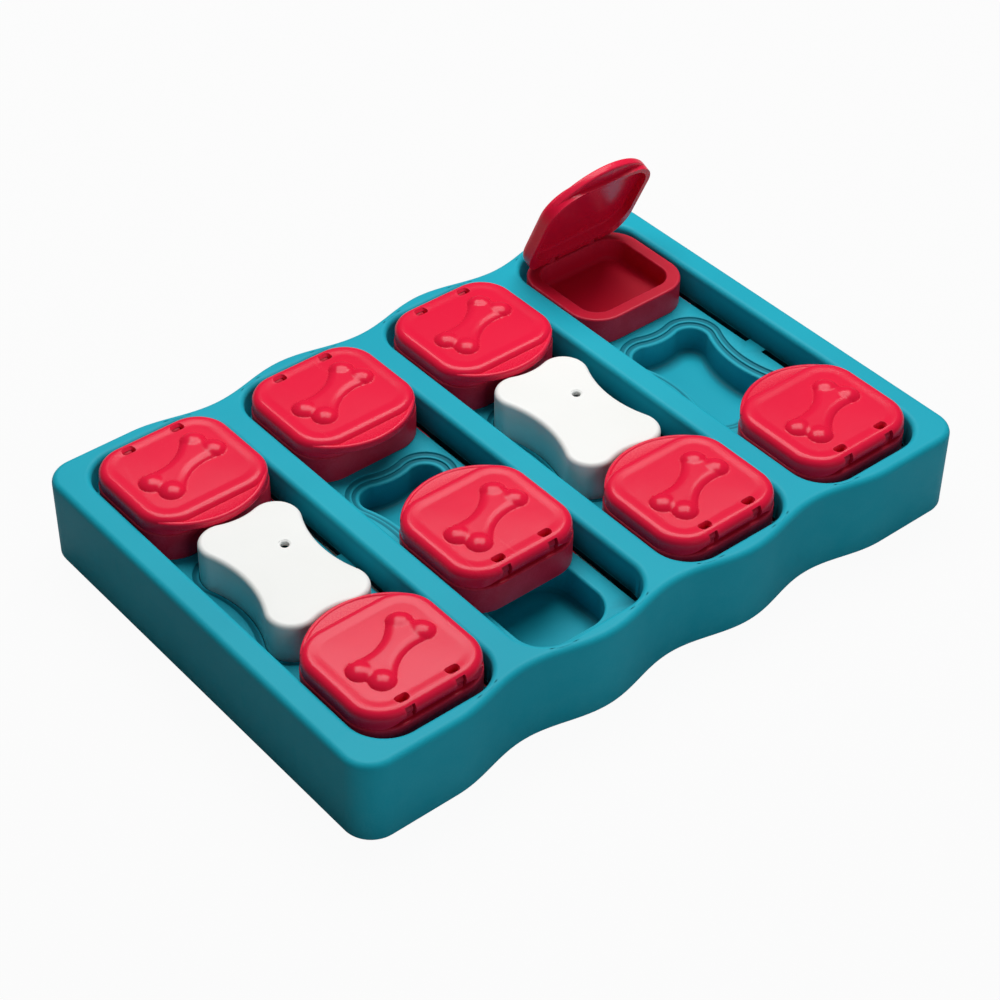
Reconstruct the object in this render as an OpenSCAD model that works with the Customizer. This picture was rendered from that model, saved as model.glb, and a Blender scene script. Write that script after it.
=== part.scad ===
// Dog puzzle feeder toy: a moulded tray with four channels, eight lidded boxes that slide in
// the channels, and two hollow bones that stand over the middle recess of two channels.
// X runs across the channels, Y along them. Z = 0 is the table under the rubber feet.

/* [Tray] */
// Width of the rim outside the first and the last channel
side_rim = 12.5; // [11:0.5:18]
// Width of the rim outside the ends of the channels, at the bulges of the wavy sides
end_rim = 8; // [7.5:0.25:12]
// Height of the rim above the table
tray_h = 41; // [38:0.5:43]
// How far each wavy side dips beside a rib
wave_d = 6.4; // [2:0.2:7]
// Corner radius of the tray seen from above
tray_r = 13; // [8:0.5:14]
// Rounding of the outer top edge
tray_edge = 3; // [1.5:0.25:3.25]
// Wall thickness of the tray
wall = 2.5; // [1.8:0.1:2.8]
// Height of the skirt's lower edge above the table
skirt_gap = 0.8; // [0.4:0.1:1.5]

/* [Channels] */
// Width of a channel
channel_w = 64; // [63:0.25:66]
// Length of a channel
channel_l = 205; // [203:1:207]
// Width of the rib between two channels
rib_w = 13; // [11:0.5:14]
// Corner radius of a channel seen from above
channel_r = 17; // [12:0.5:20]
// Rounding of a channel's top edge
channel_edge = 2.5; // [1:0.25:2.75]
// Depth of a channel below the rim
channel_depth = 15; // [13:0.5:17]
// Thickness of the channel floor
floor_t = 3; // [2.5:0.25:4]
// Width of the slot along each side of a channel
slot_w = 3; // [2.5:0.1:3.4]
// Length of the bridge between the two slots in line
bridge_l = 10; // [6:1:16]

/* [Recesses] */
// Depth of the recesses below the channel floor
recess_depth = 15; // [11:0.5:18]
// Width of the recess under each box
end_recess_w = 42; // [34:1:43]
// Length of the recess under each box
end_recess_l = 43; // [34:1:44]
// Corner radius of the recess under each box
end_recess_r = 14; // [8:0.5:16]
// Solid floor between a box recess and the end of its channel
end_recess_gap = 11.5; // [10:0.5:15]
// Depth of the step in which a bone stands
seat_depth = 1.8; // [0.6:0.1:2]
// Width of that step outside the bone
seat_margin = 3; // [2:0.25:3.5]
// Width of that step under the bone
seat_lap = 3; // [2.6:0.1:4]

/* [Boxes] */
// Gap between a box and each side wall of its channel
box_play = 1; // [0.75:0.25:2]
// Length of a box and its lid
box_l = 56; // [52:1:57]
// Corner radius of a box and its lid seen from above
box_r = 16; // [13:0.5:18]
// Height of a box above the channel floor
box_h = 13.5; // [12:0.5:16]
// Width of the rim around the inside of a box
rim_w = 6.5; // [6:0.25:8]
// Wall thickness of a box
box_wall = 2; // [1.6:0.1:2.2]
// Gap between the outer end of a box and the end of its channel
end_gap = 4.5; // [4:0.25:6]

/* [Lids] */
// How far each side of a lid stands inside its box
lid_set = 0.5; // [0:0.25:1.5]
// Thickness of a lid at its edge
lid_h = 7.6; // [7:0.2:9]
// Wall thickness of a lid
lid_wall = 2.5; // [1.8:0.1:2.8]
// Width of the raised border around a lid's panel
bead_w = 6; // [5:0.25:7]
// Depth of the panel below the border
panel_depth = 0.3; // [0.2:0.1:1]
// How far the finger tongue reaches past the box
tongue_reach = 7; // [4:0.25:7.25]
// Thickness of the finger tongue
tongue_t = 3.4; // [2.6:0.1:3.6]
// Width of the lip along the tongue's edge
lip_w = 1.8; // [1.2:0.1:2.4]
// Height of that lip
lip_h = 0.5; // [0.3:0.1:0.9]
// Height of the bone relief on a lid
relief_h = 2.5; // [1:0.1:3]
// Angle at which the open lid stands
open_angle = 66; // [0:1:100]

/* [Hinges] */
// Diameter of a hinge pin
pin_d = 2; // [1.6:0.1:2.4]
// Running clearance of a pin in a box ear, on the radius
pin_fit = 0.05; // [0.02:0.01:0.08]
// Distance of each box ear from the middle of the box
ear_x = 12; // [10:0.5:14]
// Width of a box ear
ear_w = 4; // [3:0.25:4.5]
// Clearance around a box ear
ear_fit = 0.3; // [0.2:0.05:0.4]

/* [Bones] */
// Gap between the ends of a bone and the boxes before and behind it
bone_clear = 6.7; // [6.5:0.1:9]
// Width of a bone over its lobes
bone_w = 46; // [42:0.5:48]
// Width of a bone at its waist
bone_waist = 36; // [32:0.5:39]
// Height of a bone
bone_h = 19.6; // [15:0.1:22]
// Wall thickness of a bone
bone_wall = 2.5; // [1.8:0.1:2.6]
// Rounding of a bone's top edge
bone_edge = 3; // [2:0.25:5]
// Diameter of the scent hole in a bone
scent_hole_d = 3.5; // [2:0.25:5]
// Place of the scent hole across the bone
scent_hole_x = 6; // [-8:0.5:8]
// Place of the scent hole along the bone
scent_hole_y = 8; // [-10:0.5:10]

/* [Hidden] */
$fn = 64;
channel_count = 4;
channels = [0 : channel_count - 1];
sides = [-1, 1];
side_name = ["near", "far"];
bone_channels = [0, 2];
open_channel = 3;
pushed_channel = 1;

teal = [0.13, 0.66, 0.74];
red = [0.89, 0.11, 0.26];
white = [0.95, 0.95, 0.93];
grey = [0.7, 0.71, 0.72];
rubber = [0.16, 0.17, 0.18];

pitch = channel_w + rib_w;
tray_l = channel_count * pitch - rib_w + 2 * side_rim;
tray_w = channel_l + 2 * end_rim;
floor_z = tray_h - channel_depth;
recess_z = floor_z - recess_depth;
cut = 1;
arc_steps = 5;
corner_steps = 6;
wave_steps = 16;
lobe_steps = 8;
dip_steps = 4;
round_steps = 4;

// Clearances between pieces that move on each other
slide_gap = 0.2;
lid_gap = 0.2;
bone_gap = 0.1;
runner_fit = 0.4;
runner_play = 0.5;

// Boxes: the runners hang in the slots and hook under the channel floor
box_w = channel_w - 2 * box_play;
box_z = floor_z + slide_gap;
box_top = floor_z + box_h;
block_y = channel_l / 2 - end_gap - box_l / 2;
box_floor_t = 2.5;
core_top_t = 2.2;
box_edge = 0.8;
cavity_edge = 0.6;
core_edge = 0.5;
runner_front_inset = 0.5;
runner_back_inset = 7;
runner_neck_overrun = 1;
runner_front = box_l / 2 - runner_front_inset;
runner_back = box_l / 2 - runner_back_inset;
runner_neck = box_l / 2 - box_r + runner_neck_overrun;
runner_hook = 2.8;
runner_t = 2.2;
runner_rise = 1.4;
slot_in = channel_w / 2 - slot_w;
slot_end = block_y + runner_back + runner_play;
pushed_in = block_y - runner_front - runner_play - bridge_l / 2;

// Lids: the rear edge is a half round about the hinge pin
lid_w = box_w - 2 * lid_set;
hinge_r = lid_h / 2;
hinge_y = box_l / 2 - hinge_r;
hinge_z = box_top + lid_gap + hinge_r;
hinge_wall = 2.8;
hinge_body = pin_d / 2 + hinge_wall;
lid_cavity_edge = 1.5;
ear_wall = 1.4;
ear_r = pin_d / 2 + ear_wall;
ear_root = 1.8;
pin_hold = 3.5;
pin_l = 2 * (ear_x + ear_w / 2 + pin_hold);
swing = 105;
swing_steps = 7;
window_w = 5.5;
window_l = 2.5;
window_gap = 0.25;
window_y = hinge_y - pin_d / 2 - window_gap - window_l / 2;

// The tongue is a segment of the circle that touches both front corners of the lid. It ends
// just in front of the points of touch.
corner_x = lid_w / 2 - box_r;
corner_y = box_l / 2 - box_r;
tongue_y = (pow(corner_x, 2) + pow(corner_y, 2) - pow(corner_y + tongue_reach, 2)) / (2 * tongue_reach);
tongue_r = box_l / 2 + tongue_reach + tongue_y;
tongue_end_inset = 1.5;
tongue_end = tongue_y - tongue_r * (corner_y + tongue_y) / (tongue_r - box_r) - tongue_end_inset;
tongue_rise = 2.1;
tongue_z = box_top + lid_gap + tongue_rise;

// Bone relief on a lid
relief_l = 42;
relief_w = 21;
relief_waist = 11.5;
relief_lobe_r = 5.6;
relief_dip = 2;
relief_turn = -67;

// Bones
bone_l = 2 * (block_y - box_l / 2 - bone_clear);
bone_lobe_r = 11;
bone_dip = 2;
bone_turn = -2.5;
bone_z = floor_z - seat_depth + bone_gap;

// Recess edges in the channel floor
recess_edge = 0.5;

// Margins of the band that cuts the tray's top edge
band_out = 2;
band_clear = 0.2;

// Rubber feet stand under the tray's corners
foot_inset = 1;
foot_rise = 1.4;
foot_r = tray_r - wall - foot_inset;
foot_t = skirt_gap + foot_rise;
foot_x = tray_l / 2 - tray_r;
foot_y = tray_w / 2 - tray_r;
stud_r = 2.5;
stud_l = 4;
stud_fit = 0.05;
boss_inset = 1;
boss_r = tray_r - boss_inset;
boss_h = 12;

function channel_x(c) = (c - (channel_count - 1) / 2) * pitch;
function block_name(c, s) = str(c + 1, "_", side_name[(s + 1) / 2]);
function box_centre(c, s) = block_y - (c == pushed_channel && s < 0 ? pushed_in : 0);
function lid_angle(c, s) = c == open_channel && s > 0 ? open_angle : 0;
function reversed(v) = [for (i = [len(v) - 1 : -1 : 0]) v[i]];
function distinct(v) = [for (i = [0 : len(v) - 1]) if (norm(v[i] - v[(i + 1) % len(v)]) > 0.001) v[i]];

// Points on an arc about [x, y] from angle a0 to angle a1
function arc(x, y, r, a0, a1, steps = arc_steps) =
    [for (i = [0 : steps]) let (a = a0 + (a1 - a0) * i / steps) [x + r * cos(a), y + r * sin(a)]];

// The tray's outline, moved inwards by inset: a cosine wave on both long sides, one period a
// channel, and round corners. The wave is moved along its own normal.
function tray_half(inset) =
    concat(
        arc(foot_x, foot_y, tray_r - inset, 0, 90, corner_steps),
        [for (i = [0 : (channel_count - 1) * wave_steps]) let (
            phase = 360 * i / wave_steps,
            x = channel_x(channel_count - 1) - pitch * i / wave_steps,
            y = tray_w / 2 - wave_d / 2 * (1 - cos(phase)),
            slope = wave_d * PI / pitch * sin(phase),
            k = inset / norm([1, slope]))
            [x + slope * k, y - k]],
        arc(-foot_x, foot_y, tray_r - inset, 90, 180, corner_steps));
function tray_outline(inset) = concat(tray_half(inset), [for (p = tray_half(inset)) -p]);

// A bone's outline, moved inwards by inset. Four lobes of radius r stand at [a, b] from the
// middle. A concave arc through [waist, 0] joins the lobes along each side, and one through
// [0, end] joins them at each end. All arcs are tangent to the lobes.
function bone_quarter(half_l, half_w, waist, dip, r, inset) =
    let (a = half_w - r,
         b = half_l - r,
         end = half_l - dip,
         side_r = (b * b + pow(waist - a, 2) - r * r) / (2 * (r - waist + a)),
         end_r = (a * a + pow(end - b, 2) - r * r) / (2 * (r - end + b)),
         side_a = atan2(-b, waist + side_r - a),
         end_a = atan2(end + end_r - b, -a))
    concat(
        arc(waist + side_r, 0, side_r + inset, 180, 180 + side_a, lobe_steps),
        arc(a, b, r - inset, side_a, end_a, lobe_steps),
        arc(0, end + end_r, end_r + inset, 180 + end_a, 270, dip_steps));
function bone_loop(q) =
    distinct(concat(
        q,
        reversed([for (p = q) [-p.x, p.y]]),
        [for (p = q) -p],
        reversed([for (p = q) [p.x, -p.y]])));
function bone_outline(inset) =
    bone_loop(bone_quarter(bone_l / 2, bone_w / 2, bone_waist / 2, bone_dip, bone_lobe_r, inset));
function relief_outline() =
    bone_loop(bone_quarter(relief_l / 2, relief_w / 2, relief_waist / 2, relief_dip, relief_lobe_r, 0));

// Half a section of height h whose wall stands d from the middle. A positive e rounds the top
// edge inwards, a negative one flares it outwards.
module half_section(d, h, e) {
    rounded = arc(d - e, h - e, e, 0, 90);
    flared = concat(arc(d - e, h + e, -e, 180, 90), [[d - e, h + cut], [0, h + cut]]);
    polygon(concat([[0, 0], [d, 0]], e > 0 ? concat(rounded, [[0, h]]) : flared));
}

// A block with round corners seen from above, from y0 to y1
module round_block(w, y0, y1, r, h) {
    for (x = [r - w / 2, w / 2 - r], y = [y0 + r, y1 - r])
        translate([x, y, 0]) cylinder(r = r, h = h);
    translate([-w / 2, y0 + r, 0]) cube([w, y1 - y0 - 2 * r, h]);
    translate([r - w / 2, y0, 0]) cube([w - 2 * r, y1 - y0, h]);
}

// The same block with its top edge rounded
module soft_block(w, y0, y1, r, h, e) {
    l = y1 - y0;
    for (x = [r - w / 2, w / 2 - r], y = [y0 + r, y1 - r])
        translate([x, y, 0]) rotate_extrude() half_section(r, h, e);
    for (side = [0, 1])
        mirror([side, 0, 0]) translate([0, y1 - r, 0]) rotate([90, 0, 0])
            linear_extrude(l - 2 * r) half_section(w / 2, h, e);
    translate([w / 2 - r, (y0 + y1) / 2, 0]) rotate([90, 0, -90]) linear_extrude(w - 2 * r)
        for (side = [0, 1]) mirror([side, 0, 0]) half_section(l / 2, h, e);
}

// A solid with one outline a level, each with as many points
module stack(outlines, levels) {
    n = len(outlines[0]);
    m = len(outlines);
    points = [for (i = [0 : m - 1]) for (p = outlines[i]) [p.x, p.y, levels[i]]];
    sides = [for (i = [0 : m - 2]) for (j = [0 : n - 1]) let (k = (j + 1) % n)
        [i * n + j, (i + 1) * n + j, (i + 1) * n + k, i * n + k]];
    polyhedron(points, concat([[for (j = [0 : n - 1]) j]], sides, [[for (j = [n - 1 : -1 : 0]) (m - 1) * n + j]]));
}

// A closed band that follows the tray's outline, with one inset and one level a row
module outline_band(rows) {
    m = len(rows);
    n = len(tray_outline(0));
    points = [for (row = rows) for (p = tray_outline(row[0])) [p.x, p.y, row[1]]];
    polyhedron(points, [for (i = [0 : m - 1]) for (j = [0 : n - 1]) let (i2 = (i + 1) % m, k = (j + 1) % n)
        [i * n + j, i2 * n + j, i2 * n + k, i * n + k]]);
}

module at_block(c, s) {
    translate([channel_x(c), s * box_centre(c, s), 0]) rotate([0, 0, s > 0 ? 0 : 180]) children();
}

module at_corners() {
    for (x = sides, y = sides) translate([x * foot_x, y * foot_y, 0]) children();
}

// ---------------------------------------------------------------- tray
module channel_space(c) {
    translate([channel_x(c), 0, floor_z])
        soft_block(channel_w, -channel_l / 2, channel_l / 2, channel_r, channel_depth, -channel_edge);
}

module end_recess(c, s, grow, z0, z1) {
    y1 = channel_l / 2 - end_recess_gap + grow;
    y0 = y1 - end_recess_l - 2 * grow;
    translate([channel_x(c), 0, z0]) rotate([0, 0, s > 0 ? 0 : 180])
        soft_block(end_recess_w + 2 * grow, y0, y1, end_recess_r + grow, z1 - z0, -recess_edge);
}

module bone_recess(c, inset, z0, z1) {
    translate([channel_x(c), 0, z0]) linear_extrude(z1 - z0) polygon(bone_outline(inset));
}

module slots(c) {
    for (x = sides, y = sides)
        translate([channel_x(c) + x * (channel_w / 2 - slot_w / 2), y * (slot_end + bridge_l / 2) / 2,
            floor_z - floor_t / 2])
            cube([slot_w, slot_end - bridge_l / 2, floor_t + cut], center = true);
}

module underside() {
    difference() {
        translate([0, 0, -cut]) linear_extrude(tray_h - wall + cut) polygon(tray_outline(wall));
        at_corners() translate([0, 0, foot_t]) cylinder(r = boss_r, h = boss_h);
    }
}

// Cuts the quarter round along the outer top edge
module edge_cut() {
    inner = tray_edge + 4 * band_clear;
    bottom = tray_h - tray_edge - 3 * band_clear;
    quarter = [for (p = arc(0, 0, tray_edge, 90, 0, round_steps)) [tray_edge - p.x, tray_h - tray_edge + p.y]];
    outline_band(concat(
        [[-band_out, tray_h + band_out], [inner, tray_h + band_out], [inner, tray_h + band_clear / 2]],
        quarter,
        [[-band_clear, bottom], [-band_out, bottom]]));
}

// The skirt and the top of the tray, down to the troughs that hang from it
module base_tray() {
    color(teal) difference() {
        translate([0, 0, skirt_gap]) linear_extrude(tray_h - skirt_gap) polygon(tray_outline(0));
        underside();
        for (c = channels) channel_space(c);
        at_corners() translate([0, 0, foot_t - cut]) cylinder(r = stud_r + stud_fit, h = stud_l + 2 * cut);
        edge_cut();
    }
}

// One channel's walls and floor, with a cup under each recess. The tray is moulded in one with
// its four troughs, and they are drawn apart because each holds a shape of its own.
module channel_trough(c) {
    bottom = floor_z - floor_t;
    in_floor = floor_z - floor_t / 2;
    color(teal) difference() {
        union() {
            translate([channel_x(c), 0, bottom])
                round_block(channel_w + 2 * wall, -channel_l / 2 - wall, channel_l / 2 + wall,
                    channel_r + wall, tray_h - wall - bottom);
            bone_recess(c, seat_lap - wall, recess_z - wall, in_floor);
            for (s = sides) end_recess(c, s, wall, recess_z - wall, in_floor);
        }
        channel_space(c);
        bone_recess(c, -seat_margin, floor_z - seat_depth, floor_z + cut);
        bone_recess(c, seat_lap, recess_z, floor_z);
        for (s = sides) end_recess(c, s, 0, recess_z, floor_z);
        slots(c);
    }
}

module rubber_feet() {
    color(rubber) at_corners() {
        cylinder(r = foot_r, h = foot_t);
        cylinder(r = stud_r, h = foot_t + stud_l);
    }
}

// ---------------------------------------------------------------- boxes
module runner() {
    wall_x = box_w / 2;
    neck_x = slot_in + runner_fit;
    top = floor_z - floor_t + runner_rise;
    bottom = floor_z - floor_t - runner_fit - runner_t;
    translate([neck_x, -runner_neck, bottom])
        cube([wall_x - neck_x, 2 * runner_neck, box_z + cut - bottom]);
    translate([neck_x, -runner_front, bottom])
        cube([wall_x - neck_x, runner_front + runner_back, top - bottom]);
    translate([slot_in - runner_hook, -runner_front, bottom])
        cube([wall_x - slot_in + runner_hook, runner_front + runner_back, runner_t]);
}

module box_ear() {
    rotate([90, 0, 90]) linear_extrude(ear_w, center = true) difference() {
        union() {
            translate([hinge_y, hinge_z]) circle(r = ear_r);
            translate([hinge_y - ear_root, box_top - cut]) square([2 * ear_root, hinge_z - box_top + cut]);
        }
        translate([hinge_y, hinge_z]) circle(r = pin_d / 2 + pin_fit);
    }
}

module box_part(c, s) {
    half_l = box_l / 2;
    core_w = box_w - 2 * rim_w + 2 * box_wall;
    core_l = half_l - rim_w + box_wall;
    color(red) at_block(c, s) {
        difference() {
            translate([0, 0, box_z]) soft_block(box_w, -half_l, half_l, box_r, box_h - slide_gap, box_edge);
            translate([0, 0, box_z + box_floor_t])
                soft_block(box_w - 2 * rim_w, rim_w - half_l, half_l - rim_w, box_r - rim_w,
                    box_h - slide_gap - box_floor_t, -cavity_edge);
            difference() {
                translate([0, 0, box_z - cut])
                    soft_block(box_w - 2 * box_wall, box_wall - half_l, half_l - box_wall, box_r - box_wall,
                        box_h - slide_gap - core_top_t + cut, core_edge);
                translate([0, 0, box_z - 2 * cut])
                    soft_block(core_w, -core_l, core_l, box_r - rim_w + box_wall, box_h + 4 * cut, core_edge);
            }
        }
        for (x = sides) translate([x * ear_x, 0, 0]) box_ear();
        for (side = [0, 1]) mirror([side, 0, 0]) runner();
    }
}

// ---------------------------------------------------------------- lids
module tongue() {
    intersection() {
        difference() {
            translate([0, tongue_y, tongue_z]) cylinder(r = tongue_r, h = tongue_t + lip_h, $fn = 160);
            translate([0, tongue_y, tongue_z + tongue_t])
                cylinder(r = tongue_r - lip_w, h = lip_h + cut, $fn = 160);
        }
        translate([-lid_w / 2, -box_l, 0]) cube([lid_w, box_l + tongue_end, 2 * tray_h]);
    }
}

// Everything behind the pin and below it that lies outside the half round
module rear_round() {
    translate([-lid_w, hinge_y, hinge_z]) rotate([90, 0, 90]) linear_extrude(2 * lid_w)
        polygon(concat(arc(0, 0, hinge_r, 0, -90), [[0, -2 * hinge_r], [2 * hinge_r, -2 * hinge_r], [2 * hinge_r, 0]]));
}

// The path of a box ear through the lid as the lid swings
module ear_path() {
    for (x = sides) translate([x * ear_x, hinge_y, hinge_z]) rotate([90, 0, 90])
        linear_extrude(ear_w + 2 * ear_fit, center = true) {
            circle(r = ear_r + ear_fit);
            for (i = [0 : swing_steps]) rotate(swing * i / swing_steps) translate([-ear_root - ear_fit, -3 * hinge_r])
                square([2 * (ear_root + ear_fit), 3 * hinge_r]);
        }
}

module lid_part(c, s) {
    half_l = box_l / 2;
    panel_z = lid_h - panel_depth;
    color(red) at_block(c, s)
        translate([0, hinge_y, hinge_z]) rotate([-lid_angle(c, s), 0, 0]) translate([0, -hinge_y, -hinge_z])
        difference() {
            union() {
                difference() {
                    translate([0, 0, box_top + lid_gap]) soft_block(lid_w, -half_l, half_l, box_r, lid_h, hinge_r);
                    translate([0, 0, box_top + lid_gap + panel_z])
                        soft_block(lid_w - 2 * bead_w, bead_w - half_l, half_l - bead_w, box_r - bead_w,
                            panel_depth, -panel_depth);
                }
                translate([0, 0, box_top + lid_gap + panel_z - cut]) rotate([0, 0, relief_turn])
                    linear_extrude(relief_h + cut) polygon(relief_outline());
                tongue();
            }
            translate([0, 0, box_top + lid_gap - cut])
                soft_block(lid_w - 2 * lid_wall, lid_wall - half_l, hinge_y - hinge_body, box_r - lid_wall,
                    panel_z - lid_wall + cut, lid_cavity_edge);
            rear_round();
            ear_path();
            for (x = sides) translate([x * ear_x, window_y, hinge_z + hinge_r])
                cube([window_w, window_l, 2 * hinge_r], center = true);
            translate([-lid_w / 2 - cut, hinge_y, hinge_z]) rotate([0, 90, 0])
                cylinder(r = pin_d / 2, h = lid_w / 2 + pin_l / 2 + cut);
        }
}

module hinge_pin(c, s) {
    color(grey) at_block(c, s) translate([-pin_l / 2, hinge_y, hinge_z]) rotate([0, 90, 0])
        cylinder(d = pin_d, h = pin_l);
}

// ---------------------------------------------------------------- bones
module bone(c) {
    steps = arc(0, 0, bone_edge, 0, 90);
    color(white) translate([channel_x(c), 0, bone_z]) rotate([0, 0, bone_turn]) difference() {
        stack(
            concat([bone_outline(0)], [for (p = steps) bone_outline(bone_edge - p.x)]),
            concat([0], [for (p = steps) bone_h - bone_edge + p.y]));
        translate([0, 0, -cut]) linear_extrude(bone_h - bone_wall + cut) polygon(bone_outline(bone_wall));
        translate([scent_hole_x, scent_hole_y, 0]) cylinder(d = scent_hole_d, h = bone_h + cut);
    }
}

base_tray();
rubber_feet();
for (c = channels) {
    channel_trough(c);
}
for (c = channels, s = sides) {
    box_part(c, s);
    lid_part(c, s);
    hinge_pin(c, s);
}
for (c = bone_channels) {
    bone(c);
}
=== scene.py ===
"""Dog puzzle feeder toy: the finished surfaces of its tray, boxes, lids, bones and feet.

The toy's sizes are in millimetres and become metres when a mesh is made; the lamps and the
floor are in metres. X runs across the four channels, Y along them, and Z = 0 is the table
under the rubber feet.
"""

import logging
from dataclasses import dataclass, field
from enum import Enum
from typing import Callable, Sequence

import bmesh
import bpy
import numpy as np
from mathutils import Matrix, Vector
from mathutils.geometry import delaunay_2d_cdt


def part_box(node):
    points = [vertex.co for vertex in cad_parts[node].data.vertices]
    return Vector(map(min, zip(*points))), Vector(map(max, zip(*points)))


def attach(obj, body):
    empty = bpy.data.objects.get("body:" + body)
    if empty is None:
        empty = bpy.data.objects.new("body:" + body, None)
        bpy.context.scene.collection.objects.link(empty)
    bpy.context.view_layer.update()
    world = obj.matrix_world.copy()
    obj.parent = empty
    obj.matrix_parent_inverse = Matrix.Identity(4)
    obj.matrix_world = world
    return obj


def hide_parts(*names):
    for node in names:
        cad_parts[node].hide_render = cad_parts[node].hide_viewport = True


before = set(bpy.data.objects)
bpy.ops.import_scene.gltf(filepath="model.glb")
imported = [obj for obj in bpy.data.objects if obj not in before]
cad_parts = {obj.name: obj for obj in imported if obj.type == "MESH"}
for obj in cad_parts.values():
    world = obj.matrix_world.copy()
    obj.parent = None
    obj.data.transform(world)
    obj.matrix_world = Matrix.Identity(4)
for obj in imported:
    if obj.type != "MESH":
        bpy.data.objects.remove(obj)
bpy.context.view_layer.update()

MM = 0.001
# In metres: points nearer than this become one.
WELD = 1e-6
# In millimetres: the ends of two runs nearer than this are one point.
MEET = 1e-4
# In square millimetres: shorter edges count as this long when their bend is worked out.
LEAST_EDGE = 0.01
SHARP = np.radians(32.0)
# In millimetres: from one channel's middle to the next.
PITCH = 77.0
LOG = logging.getLogger("puzzle_feeder")

Colour = tuple[float, float, float, float]


class Side(Enum):
    """The two blocks of a channel, by the way their outer end points along Y."""

    NEAR = -1
    FAR = 1


class Slot(Enum):
    """The record's material slots."""

    TRAY = "tray_plastic"
    BOX = "box_plastic"
    LID = "lid_plastic"
    BONE = "bone_plastic"
    FOOT = "foot_rubber"
    PIN = "pin_steel"


# ------------------------------------------------------------------ outlines


@dataclass(frozen=True)
class Outline:
    """A run of points seen from above with the outward normal at each, anticlockwise if closed."""

    points: np.ndarray
    normals: np.ndarray

    def inset(self, distance: float) -> np.ndarray:
        """Moves each point inwards along its normal; a negative distance moves it outwards."""
        return self.points - self.normals * distance

    def placed(self, x: float, y: float, turn: float = 0.0) -> "Outline":
        """Turns the outline by some degrees about its origin and then moves it.

        Args:
            x: The move along X.
            y: The move along Y.
            turn: The turn in degrees, anticlockwise.

        Returns:
            The placed outline.
        """
        angle = np.radians(turn)
        spin = np.array([[np.cos(angle), np.sin(angle)], [-np.sin(angle), np.cos(angle)]])
        return Outline(self.points @ spin + (x, y), self.normals @ spin)

    def mirrored(self, x: int, y: int) -> "Outline":
        """Mirrors the outline and keeps it anticlockwise.

        Args:
            x: -1 to mirror across the YZ plane, else 1.
            y: -1 to mirror across the XZ plane, else 1.

        Returns:
            The mirrored outline.
        """
        step = x * y
        return Outline((self.points * (x, y))[::step], (self.normals * (x, y))[::step])


def joined(*runs: Outline) -> Outline:
    """Joins runs of points end to end and drops the points that meet.

    Args:
        *runs: The runs in order.

    Returns:
        One closed outline.
    """
    points = np.concatenate([run.points for run in runs])
    normals = np.concatenate([run.normals for run in runs])
    keep = np.linalg.norm(points - np.roll(points, -1, axis=0), axis=1) > MEET
    return Outline(points[keep], normals[keep])


def arc(centre: Sequence[float], radius: float, start: float, end: float, steps: int,
        hollow: bool = False) -> Outline:
    """Points on a circle: centre + radius * (cos a, sin a) for evenly spaced a.

    Args:
        centre: The circle's centre.
        radius: Its radius.
        start: The first angle in degrees.
        end: The last angle in degrees.
        steps: How many steps lie between them.
        hollow: Whether the material lies outside the circle, so that normals point to the centre.

    Returns:
        The run of points.
    """
    angle = np.radians(np.linspace(start, end, steps + 1))
    ray = np.stack([np.cos(angle), np.sin(angle)], axis=1)
    return Outline(np.asarray(centre) + radius * ray, -ray if hollow else ray)


def straight(start: Sequence[float], end: Sequence[float], steps: int) -> Outline:
    """Evenly spaced points from start to end, with the normal on the right of the way they run.

    Args:
        start: The first point.
        end: The last point.
        steps: How many steps lie between them.

    Returns:
        The run of points.
    """
    a, b = np.asarray(start, float), np.asarray(end, float)
    points = a + (b - a) * np.linspace(0, 1, steps + 1)[:, None]
    ahead = (b - a) / np.linalg.norm(b - a)
    return Outline(points, np.tile((ahead[1], -ahead[0]), (steps + 1, 1)))


def rounded_rect(half_w: float, low: float, high: float, radius: float, bends: int = 12,
                 across: int = 10, along: int = 10) -> Outline:
    """A rectangle with round corners, four quarter circles joined by straight runs.

    Args:
        half_w: Half of its width along X.
        low: Its lowest Y.
        high: Its highest Y.
        radius: The corner radius.
        bends: Steps in each corner.
        across: Steps in each straight run along X.
        along: Steps in each straight run along Y.

    Returns:
        The outline.
    """
    x, y0, y1 = half_w - radius, low + radius, high - radius
    return joined(
        arc((x, y0), radius, -90, 0, bends), straight((half_w, y0), (half_w, y1), along),
        arc((x, y1), radius, 0, 90, bends), straight((x, high), (-x, high), across),
        arc((-x, y1), radius, 90, 180, bends), straight((-half_w, y1), (-half_w, y0), along),
        arc((-x, y0), radius, 180, 270, bends), straight((-x, low), (x, low), across))


@dataclass(frozen=True)
class BoneShape:
    """A dog bone seen from above, its length along Y.

    Four lobes of one radius stand near the corners. A concave arc joins two lobes along each
    side and another joins two at each end, and all arcs are tangent to the lobes.
    """

    length: float
    width: float
    waist: float
    dip: float
    lobe: float
    steps: int = 18

    def outline(self) -> Outline:
        """Works out the three tangent arcs of a quarter and mirrors them round.

        Returns:
            The closed outline.
        """
        a, b = self.width / 2 - self.lobe, self.length / 2 - self.lobe
        waist, end = self.waist / 2, self.length / 2 - self.dip
        side = (b**2 + (waist - a)**2 - self.lobe**2) / (2 * (self.lobe - waist + a))
        tip = (a**2 + (end - b)**2 - self.lobe**2) / (2 * (self.lobe - end + b))
        side_turn = np.degrees(np.arctan2(-b, waist + side - a))
        tip_turn = np.degrees(np.arctan2(end + tip - b, -a))
        quarter = joined(
            arc((waist + side, 0), side, 180, 180 + side_turn, self.steps, hollow=True),
            arc((a, b), self.lobe, side_turn, tip_turn, self.steps),
            arc((0, end + tip), tip, 180 + tip_turn, 270, self.steps // 2, hollow=True))
        return joined(quarter, quarter.mirrored(-1, 1), quarter.mirrored(-1, -1), quarter.mirrored(1, -1))


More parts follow.
